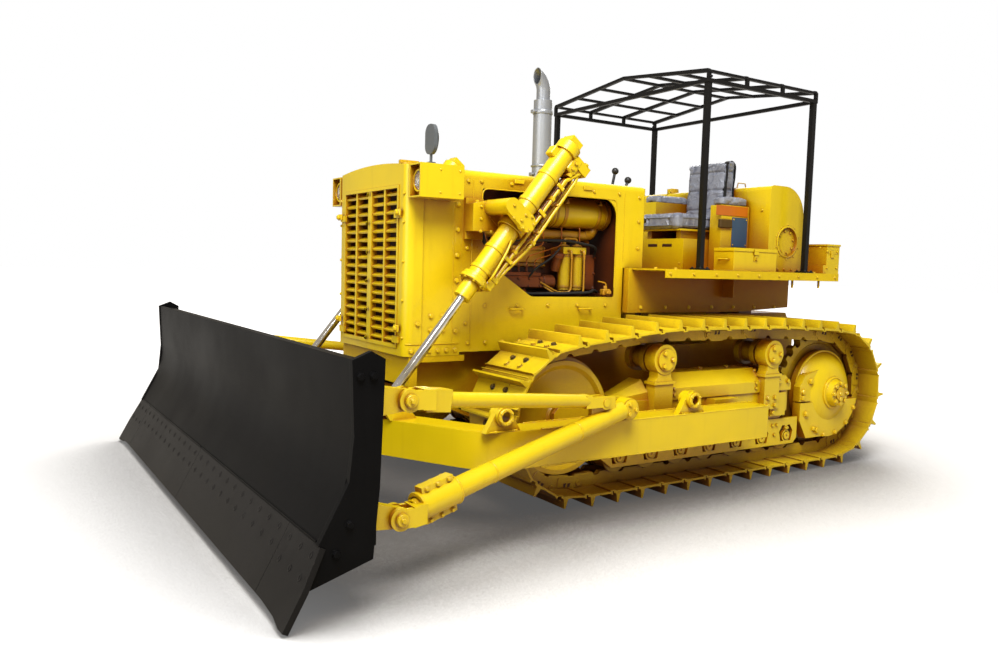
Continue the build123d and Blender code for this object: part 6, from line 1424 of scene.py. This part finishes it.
# %% Fuel tank
TANK, PRESSING = ["fuel_tank"], at(-1.610, 0.800, 1.800)
beside = PRESSING + (0, 0.6, 0)
rim = revolved([(0.1185, -0.003), (0.131, -0.003), (0.132, 0.0), (0.132, 0.004), (0.129, 0.006),
                (0.1185, 0.006)], 48, closed=True)
tank_parts = [stamp(rim, PRESSING, TO_LEFT),
              bolts_on(TANK, circle_of(beside, 0.090, 8, start=0.2), FROM_LEFT, small, 1.2),
              bolts_on(TANK, circle_of(beside, 0.142, 10), FROM_LEFT, dome(0.009, 0.005), 1.2),
              bolts_on(TANK, grid(np.linspace(-1.76, -1.42, 5), 1.4, 1.575), FROM_LEFT, small, 1.2)]
for y in (-0.40, 0.40):
    tank_parts.append(line_on(TANK, grid(np.linspace(-1.795, -1.385, 30), y, 2.7), FROM_ABOVE, 0.005, 0.001))
neck, _ = hits(TANK, at(-1.590, 0.0, 2.9), FROM_ABOVE, 2.0)
cap = revolved([(0, -0.002), (0.060, -0.002), (0.064, 0.004), (0.064, 0.030), (0.050, 0.042), (0, 0.045)], 32)
tank_parts.append(stamp(cap, neck))
spots = [at(-0.9, y, z) for z in (1.70, 2.05) for y in (0.55, 0.72)]
places, normals = hits(TANK, spots, FROM_FRONT)
tank_parts.append(stamp(small, places, axes_along(normals)))
add("tank_fittings", both(join(*tank_parts)), "yellow_paint")
print("tank:", PIECES[-1])

# %% [markdown]
# Two boxes stand on the fenders' tails, with a lid seam and a latch on the outer side.

# %% Rear boxes
REAR = ["rear_boxes"]
rear_parts = [bolts_on(REAR, grid(-1.7, (0.62, 0.78), 1.77), FROM_FRONT, dome(0.009, 0.005)),
              bolts_on(REAR, grid((-2.075, -2.205), 1.4, (1.60, 1.74)), FROM_LEFT, small),
              line_on(REAR, grid(np.linspace(-2.24, -2.04, 16), 1.4, 1.722), FROM_LEFT, 0.003, 0.0006)]
latch = hits(REAR, at(-2.14, 1.4, 1.715), FROM_LEFT)[0][0]
rear_parts.append(slab(latch + (-0.018, 0, -0.030), latch + (0.018, 0.010, 0.030), 0.003))
add("rear_box_fittings", both(join(*rear_parts)), "bolt_yellow")
print("rear boxes:", PIECES[-1])

# %% [markdown]
# Every sheet edge on the deck is stiffened by a flange, and bolts hold the sheets to the hull.

# %% Fenders and hull
FENDER, plain = ["fender_left"], hexagon(0.022, 0.012)
fender_parts = [bolts_on(FENDER, grid(np.linspace(-2.02, -0.14, 9), 1.3, 1.518), FROM_LEFT, small),
                bolts_on(FENDER, grid(np.linspace(-1.98, -0.20, 8), 1.3, 1.255), FROM_LEFT, plain),
                bolts_on(FENDER, grid((-0.16, -0.36, -1.98), 0.80, 2.2), FROM_ABOVE, plain),
                weld_bead([at(-2.06, 0.6125, 1.538), at(-0.12, 0.6125, 1.538)], 0.005)]
hull_parts = [bolts_on(["main_frame", "hood"], grid(np.linspace(0.30, 1.28, 8), 1.3, z), FROM_LEFT,
                       plain, 0.9) for z in (1.02, 0.955)]
add("fender_bolts", both(join(*fender_parts)), "bolt_yellow")
add("hull_bolts", both(join(*hull_parts)), "bolt_yellow")
print("fenders and hull:", PIECES[-2:])

# %% [markdown]
# The canopy's posts stand on foot plates with four bolts and a weld, and its roof frame is bolted to
# their heads.

# %% Canopy
POSTS_X, POST_Y = (-1.690, -0.490), 0.918
ROUND = ((-1, -1), (1, -1), (1, 1), (-1, 1), (-1, -1))
canopy_parts = []
for x in POSTS_X:
    foot_bolts = [at(x + dx, POST_Y + dy, 1.70) for dy in (-0.038, 0.038) for dx in (-0.038, 0.038)]
    canopy_parts.append(bolts_on(["canopy_posts"], foot_bolts, FROM_ABOVE, small, 0.3))
    canopy_parts.append(weld_bead([at(x + 0.022 * u, POST_Y + 0.022 * v, 1.5635) for u, v in ROUND], 0.004))
    head_bolts = grid(x, 1.3, (2.955, 2.985))
    canopy_parts.append(bolts_on(["canopy_roof", "canopy_posts"], head_bolts, FROM_LEFT, small, 0.6))
add("canopy_bolts", both(join(*canopy_parts)), "canopy_black")
add("deck_fittings", join(*deck_parts), "yellow_paint")
print("canopy and deck:", PIECES[-2:])

# %% [markdown]
# The driver's controls: two foot pedals on bent stalks, a short lever, and a row of gauges.

# %% Controls
PEDALS_Y = (-0.20, 0.16)
pedals = [box((-0.46, y - 0.05, 1.66), (-0.44, y + 0.05, 1.80), 0.004) for y in PEDALS_Y]
stalks = [pipe([(-0.45, y, 1.72), (-0.40, y, 1.64), (-0.38, y, 1.555)], 0.010, 0.04) for y in PEDALS_Y]
add("foot_pedals", join(*pedals, *stalks), "rubber")
knob = revolved([(0, -0.004), (0.020, 0), (0.028, 0.014), (0.026, 0.034), (0.012, 0.044), (0, 0.046)], 20)
lever = pipe([(-0.50, 0.27, 1.60), (-0.47, 0.27, 1.70), (-0.50, 0.27, 1.92)], 0.008, 0.05)
add("side_lever", join(lever, stamp(knob, at(-0.50, 0.27, 1.915))), "lever_steel")
gauge = revolved([(0, -0.002), (0.040, -0.002), (0.042, 0.004), (0.042, 0.014), (0.036, 0.018),
                  (0.034, 0.014), (0, 0.013)], 32)
wall, wall_normal = hits(["dashboard"], grid(-1.0, np.linspace(-0.24, 0.24, 5), 2.02), FROM_REAR, 1.2)
add("gauges", stamp(gauge, wall, axes_along(wall_normal)), "lever_steel")
print("controls:", PIECES[-3:])

# %% [markdown]
# ## Seat
# The seat is foam in a sewn vinyl cover, still in its clear wrapping film. A sewn cover takes its
# shape from the foam that presses on it from inside. So the cover is made the same way: the packed
# block is wrapped in an even net, shrunk a little, and blown up as cloth until it is taut. A new
# film lies in sharp little creases, and those are added after the swelling.

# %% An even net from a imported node


def even_net(node, name, voxel):
    """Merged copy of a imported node, remade as a net of even squares of one voxel's size."""
    points, triangles = node_arrays(node)
    mesh = bpy.data.meshes.new(name)
    unique, numbers = np.unique(np.round(points, 5), axis=0, return_inverse=True)
    faces = numbers.ravel()[triangles]
    faces = faces[(faces[:, 0] != faces[:, 1]) & (faces[:, 1] != faces[:, 2]) & (faces[:, 0] != faces[:, 2])]
    mesh.from_pydata(unique.tolist(), [], faces.tolist())
    thing = bpy.data.objects.new(name, mesh)
    scene.collection.objects.link(thing)
    remesh = thing.modifiers.new("net", "REMESH")
    remesh.mode, remesh.voxel_size = "VOXEL", voxel
    return bake(thing)


def bake(thing):
    """Writes what the modifiers give into the object's own mesh, and takes them off."""
    graph = bpy.context.evaluated_depsgraph_get()
    mesh = bpy.data.meshes.new_from_object(thing.evaluated_get(graph))
    thing.modifiers.clear()
    thing.data = mesh
    return thing


# %% [markdown]
# A pad has tens of thousands of corners, so they go in and out of the mesh as whole arrays.

# %% Reading and writing a mesh as arrays


def read_points(mesh):
    """Corner points of a mesh as rows of three."""
    points = np.empty(len(mesh.vertices) * 3, dtype=np.float32)
    mesh.vertices.foreach_get("co", points)
    return points.reshape(-1, 3).astype(float)


def write_points(mesh, points):
    """Puts rows of three back as the mesh's corner points."""
    mesh.vertices.foreach_set("co", np.asarray(points, dtype=np.float32).ravel())
    mesh.update()


def normals_of(mesh):
    """Outward direction at every corner point of a mesh."""
    normal = np.empty(len(mesh.vertices) * 3, dtype=np.float32)
    mesh.vertex_normals.foreach_get("vector", normal)
    return normal.reshape(-1, 3).astype(float)


# %% [markdown]
# Foam presses evenly on its cover. The film over it never stretches, so it keeps sharp creases.

# %% Cloth under pressure


def blow_up(thing, pressure, frames=20):
    """Cloth under an even pressure from inside, without weight, for a few frames."""
    cloth = thing.modifiers.new("cover", "CLOTH")
    cloth.settings.use_pressure = True
    cloth.settings.uniform_pressure_force = pressure
    cloth.settings.effector_weights.gravity = 0.0
    cloth.settings.quality = 5
    cloth.point_cache.frame_start, cloth.point_cache.frame_end = 1, frames
    for frame_number in range(1, frames + 1):
        scene.frame_set(frame_number)
    bake(thing)
    scene.frame_set(1)


def creases(points, size, depth, count=9, seed=3):
    """Creased film: each crease set is depth (1 - |sin(k . p + phase)|) to the sixth power, which is
    zero but for sharp lines a wavelength apart, and a slow wave bends the lines and lets them die."""
    wave = np.random.default_rng(seed)
    total = np.zeros(len(points))

    def ripple(turns):
        """Sine wave in a random direction, with so many half turns over the size."""
        way = unit(wave.normal(size=3))[0] * turns * np.pi / size
        return np.sin(points @ way + wave.uniform(0, 6.28))

    for _ in range(count):
        way = unit(wave.normal(size=3))[0] * np.pi / (size * wave.uniform(0.7, 1.8))
        bend, live = ripple(1.3), np.clip(ripple(0.7), 0, 1)
        total += (1 - np.abs(np.sin(points @ way + 0.9 * bend + wave.uniform(0, 6.28)))) ** 6 * live
    return depth * (total - total.mean())


# %% [markdown]
# Stitched channels hold the cover down across a pad, so they are pressed in after the swelling.

# %% A sewn pad


def sewn_pad(node, name, finish, voxel, shrink, cap, channels=(), film=0.003, film_size=0.05):
    """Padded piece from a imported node. The net starts smaller by shrink on every side. It is blown up,
    no point moves more than cap, and each channel (axis, place) is pressed in by a bell curve."""
    low, high = (np.array(corner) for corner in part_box(node))
    thing = even_net(node, name, voxel)
    mesh = thing.data
    points = read_points(mesh)
    middle, size = (low + high) / 2, high - low
    points = middle + (points - middle) * (size - 2 * shrink) / size
    write_points(mesh, points)
    blow_up(thing, 4.0)
    mesh = thing.data
    swollen = read_points(mesh)
    move = swollen - points
    far = np.linalg.norm(move, axis=1, keepdims=True)
    swollen = points + move * np.minimum(1.0, cap / np.maximum(far, 1e-9))
    write_points(mesh, swollen)
    cut = thing.modifiers.new("finer", "SUBSURF")
    cut.levels = cut.render_levels = 1
    bake(thing)
    mesh = thing.data
    points, normal = read_points(mesh), normals_of(mesh)
    press = np.zeros(len(points))
    for axis, value in channels:
        off = points[:, "xyz".index(axis)] - value
        press += 0.011 * np.exp(-(off / 0.011) ** 2)
    points = points + normal * (creases(points, film_size, film) - press)[:, None]
    points = np.clip(points, low - (0.004, 0.004, 0.0), high + 0.006)
    write_points(mesh, points)
    mesh.shade_smooth()
    mesh.materials.clear()
    mesh.materials.append(MATERIALS[finish])
    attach(thing, "root")
    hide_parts(node)
    PIECES.append((name, len(mesh.polygons) * 2))
    return thing


# %% [markdown]
# The cushion has two channels and the back three. The armrests are too narrow for any.

# %% Cushion, back and armrest pads
low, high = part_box("seat_cushion")
channels = [("y", low.y + (high.y - low.y) * share) for share in (0.27, 0.73)]
sewn_pad("seat_cushion", "cushion", "film_vinyl", 0.009, 0.016, 0.026, channels, film=0.0022)
low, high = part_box("seat_back")
channels = [("z", low.z + (high.z - low.z) * share) for share in (0.30, 0.56, 0.80)]
sewn_pad("seat_back", "backrest", "film_vinyl", 0.009, 0.014, 0.026, channels, film=0.0045, film_size=0.07)
sewn_pad("armrest_pads", "arm_pads", "film_vinyl", 0.006, 0.008, 0.014, (), film=0.0016,
         film_size=0.04)
print("pads:", PIECES[-3:])

# %% [markdown]
# The cover's parts meet in a piped seam: a cord sewn into the edge. It follows the pad all round, so
# rays from outside find where the pad's side is, and the cord is laid on those points. A black belt
# lies over the backrest's left side.

# %% Piping and belt


def ring_faces(count, sides, closed=False):
    """Four-sided faces between rings of so many points each, and from the last ring to the first."""
    faces = []
    for i in range(count if closed else count - 1):
        low, high = i * sides, (i + 1) % count * sides
        faces += [[low + k, low + (k + 1) % sides, high + (k + 1) % sides, high + k] for k in range(sides)]
    return faces


def piping(pad, plane, level, radius=0.0045, count=72):
    """Closed cord round a pad in a plane. Rays run from a circle towards the pad's middle line, and
    the points where they meet the pad are averaged with their neighbours twice."""
    points = read_points(bpy.data.objects[pad].data)
    middle = (points.min(0) + points.max(0)) / 2
    first, second = [i for i in range(3) if i != plane]
    found = []
    for turn in np.arange(count) * 2 * np.pi / count:
        start = middle.copy()
        start[plane] = level
        aim = np.zeros(3)
        aim[first], aim[second] = np.cos(turn), np.sin(turn)
        spot, _ = hits([pad], [start + aim * 1.2], -aim, 1.3)
        if len(spot):
            found.append(spot[0] + aim * radius * 0.2)
    line = np.array(found)
    for _ in range(2):
        line = (np.roll(line, 1, 0) + 2 * line + np.roll(line, -1, 0)) / 4
    tangent = unit(np.roll(line, -1, 0) - np.roll(line, 1, 0))
    outward = unit(np.cross(tangent, np.eye(3)[plane]))
    turn = np.arange(8) * np.pi / 4
    rings = line[:, None] + radius * (np.cos(turn)[None, :, None] * outward[:, None]
                                      + np.sin(turn)[None, :, None] * np.eye(3)[plane])
    return rings.reshape(-1, 3), ring_faces(len(line), 8, closed=True)


def solid_outwards(part):
    """The part with its faces turned round if its volume, the sum of a . (b x c) / 6, is negative."""
    points, faces = part
    corners = np.array([face[:3] for face in faces])
    a, b, c = (points[corners[:, i]] - points.mean(0) for i in range(3))
    return (points, faces) if (a * np.cross(b, c)).sum() > 0 else (points, [face[::-1] for face in faces])


cushion_low, cushion_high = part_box("seat_cushion")
back_low, back_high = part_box("seat_back")
cords = [piping("cushion", 2, cushion_high.z - 0.030), piping("cushion", 2, cushion_low.z + 0.028),
         piping("backrest", 0, back_high.x - 0.026), piping("backrest", 0, back_low.x + 0.026)]
add("seat_piping", join(*[solid_outwards(cord) for cord in cords]), "seat_plain")


def belt_over(pad, low, high, y, half=0.023, thick=0.0028, lift=0.003):
    """Flat strap up the pad's front, over its top and down its back. Its line is where rays meet the
    pad, smoothed three times, and its section is a rectangle half wide each way."""
    up, down = np.linspace(low.z + 0.10, high.z - 0.02, 26), np.linspace(high.z - 0.03, low.z + 0.15, 20)
    over = np.linspace(high.x - 0.03, low.x + 0.03, 6)
    line = []
    for starts, way in (([(high.x + 0.5, y, z) for z in up], FROM_FRONT),
                        ([(x, y, high.z + 0.4) for x in over], FROM_ABOVE),
                        ([(low.x - 0.5, y, z) for z in down], FROM_REAR)):
        points, normals = hits([pad], starts, way)
        line.append(points + lift * normals)
    line = np.vstack(line)
    for _ in range(3):
        line[1:-1] = (line[:-2] + 2 * line[1:-1] + line[2:]) / 4
    out = unit(np.cross(np.gradient(line, axis=0), ACROSS))
    out *= np.sign(((line - np.array([(low.x + high.x) / 2, y, 2.1])) * out).sum(1).mean())
    edge = half * ACROSS
    rings = np.stack([line - edge, line + edge, line + edge + out * thick, line - edge + out * thick], 1)
    ends = [[0, 1, 2, 3], [(len(line) - 1) * 4 + k for k in (3, 2, 1, 0)]]
    return rings.reshape(-1, 3), ends + ring_faces(len(line), 4)


belt = belt_over("backrest", back_low, back_high, back_high.y - 0.055)
add("seat_belt", solid_outwards(belt), "strap", smooth=0)
print("seat trim:", PIECES[-2:])

# %% [markdown]
# ## Studio
# A pale floor and a white surround. The lamps are broad and soft, so that a colour renders about as
# it is written. The floor shows paler to the camera, to glass and to mirrors than it shines back at
# the machine: its own glow is switched by the kind of ray that meets it.

# %% Floor, surround and lamps


def floor_and_surround(reach=90.0, lamp_white=0.21, near_glow=0.08, far_glow=1.2):
    """A square floor at the lowest point of the machine, and an even white world. The floor's own glow grows
    with the distance from the machine, so that floor and world meet without a line. To the camera, the floor
    is painted near black where the machine shuts it in, as a painted shadow."""
    mesh = bpy.data.meshes.new("floor")
    low = CAD_BOX[0].z
    mesh.from_pydata([(x, y, low) for x, y in ((-reach, -reach), (reach, -reach), (reach, reach),
                                               (-reach, reach))], [], [(0, 1, 2, 3)])
    floor = bpy.data.objects.new("floor", mesh)
    scene.collection.objects.link(floor)
    material, tree, shader, here = new_material("floor")
    seen = direct_view(tree, 0.4)
    # Painted shadow: seen by the camera, the floor turns from white to near black where the machine closes it
    # in.
    painted_shade_mask = use(tree, corner_shade_group, Reach=1.8, Start=0.03, Full=0.48)["Mask"]
    shown = blend_colours(tree, painted_shade_mask, (1.0, 1.0, 1.0, 1.0), (0.06, 0.05, 0.04, 1.0))
    tree.links.new(blend_colours(tree, seen, (0.50, 0.42, 0.28, 1.0), shown), shader.inputs["Base Color"])
    shader.inputs["Roughness"].default_value = 0.95
    shader.inputs["Specular IOR Level"].default_value = 0.0
    away = place(tree, "ShaderNodeVectorMath", {0: here}, operation="LENGTH").outputs["Value"]
    glow = maths(tree, "MULTIPLY", seen, ramp(tree, away, 2.2, 9.0, near_glow, far_glow))
    tree.links.new(glow, shader.inputs["Emission Strength"])
    shader.inputs["Emission Color"].default_value = (1.0, 1.0, 1.0, 1.0)
    mesh.materials.append(material)
    world = bpy.data.worlds.new("surround")
    world.use_nodes = True
    tree = world.node_tree
    seen = direct_view(tree, 0.4)
    strength = ramp(tree, seen, 0.0, 1.0, lamp_white, 1.0)
    warm = blend_colours(tree, seen, (1.0, 0.84, 0.62, 1.0), (1.0, 1.0, 1.0, 1.0))
    tree.links.new(warm, tree.nodes["Background"].inputs["Color"])
    tree.links.new(strength, tree.nodes["Background"].inputs["Strength"])
    scene.world = world


def direct_view(tree, gloss=1.0):
    """1 for a ray from the camera or through glass, gloss for one off a shiny surface, and 0 for one
    that lights a surface."""
    rays = tree.nodes.new("ShaderNodeLightPath").outputs
    shiny = maths(tree, "MULTIPLY", rays["Is Glossy Ray"], gloss)
    either = maths(tree, "MAXIMUM", rays["Is Camera Ray"], shiny)
    return maths(tree, "MAXIMUM", either, rays["Is Transmission Ray"])


def soft_lamp(name, at, towards, size, power):
    """Square lamp that faces a point: its -Z axis runs from the lamp to the point."""
    data = bpy.data.lights.new(name, "AREA")
    data.size, data.energy = size, power
    lamp = bpy.data.objects.new(name, data)
    scene.collection.objects.link(lamp)
    lamp.location = at
    lamp.rotation_euler = (Vector(towards) - Vector(at)).to_track_quat("-Z", "Y").to_euler()
    return lamp


floor_and_surround()
MIDDLE = (CAD_BOX[0] + CAD_BOX[1]) / 2
soft_lamp("key_lamp", (3.5, 5.5, 8.5), MIDDLE, 4.5, 1080)
soft_lamp("fill_lamp", (8.0, 2.0, 3.5), MIDDLE, 5.0, 190)
soft_lamp("rear_lamp", (-7.0, -5.0, 6.5), MIDDLE, 5.0, 300)
scene.view_settings.view_transform = "Standard"
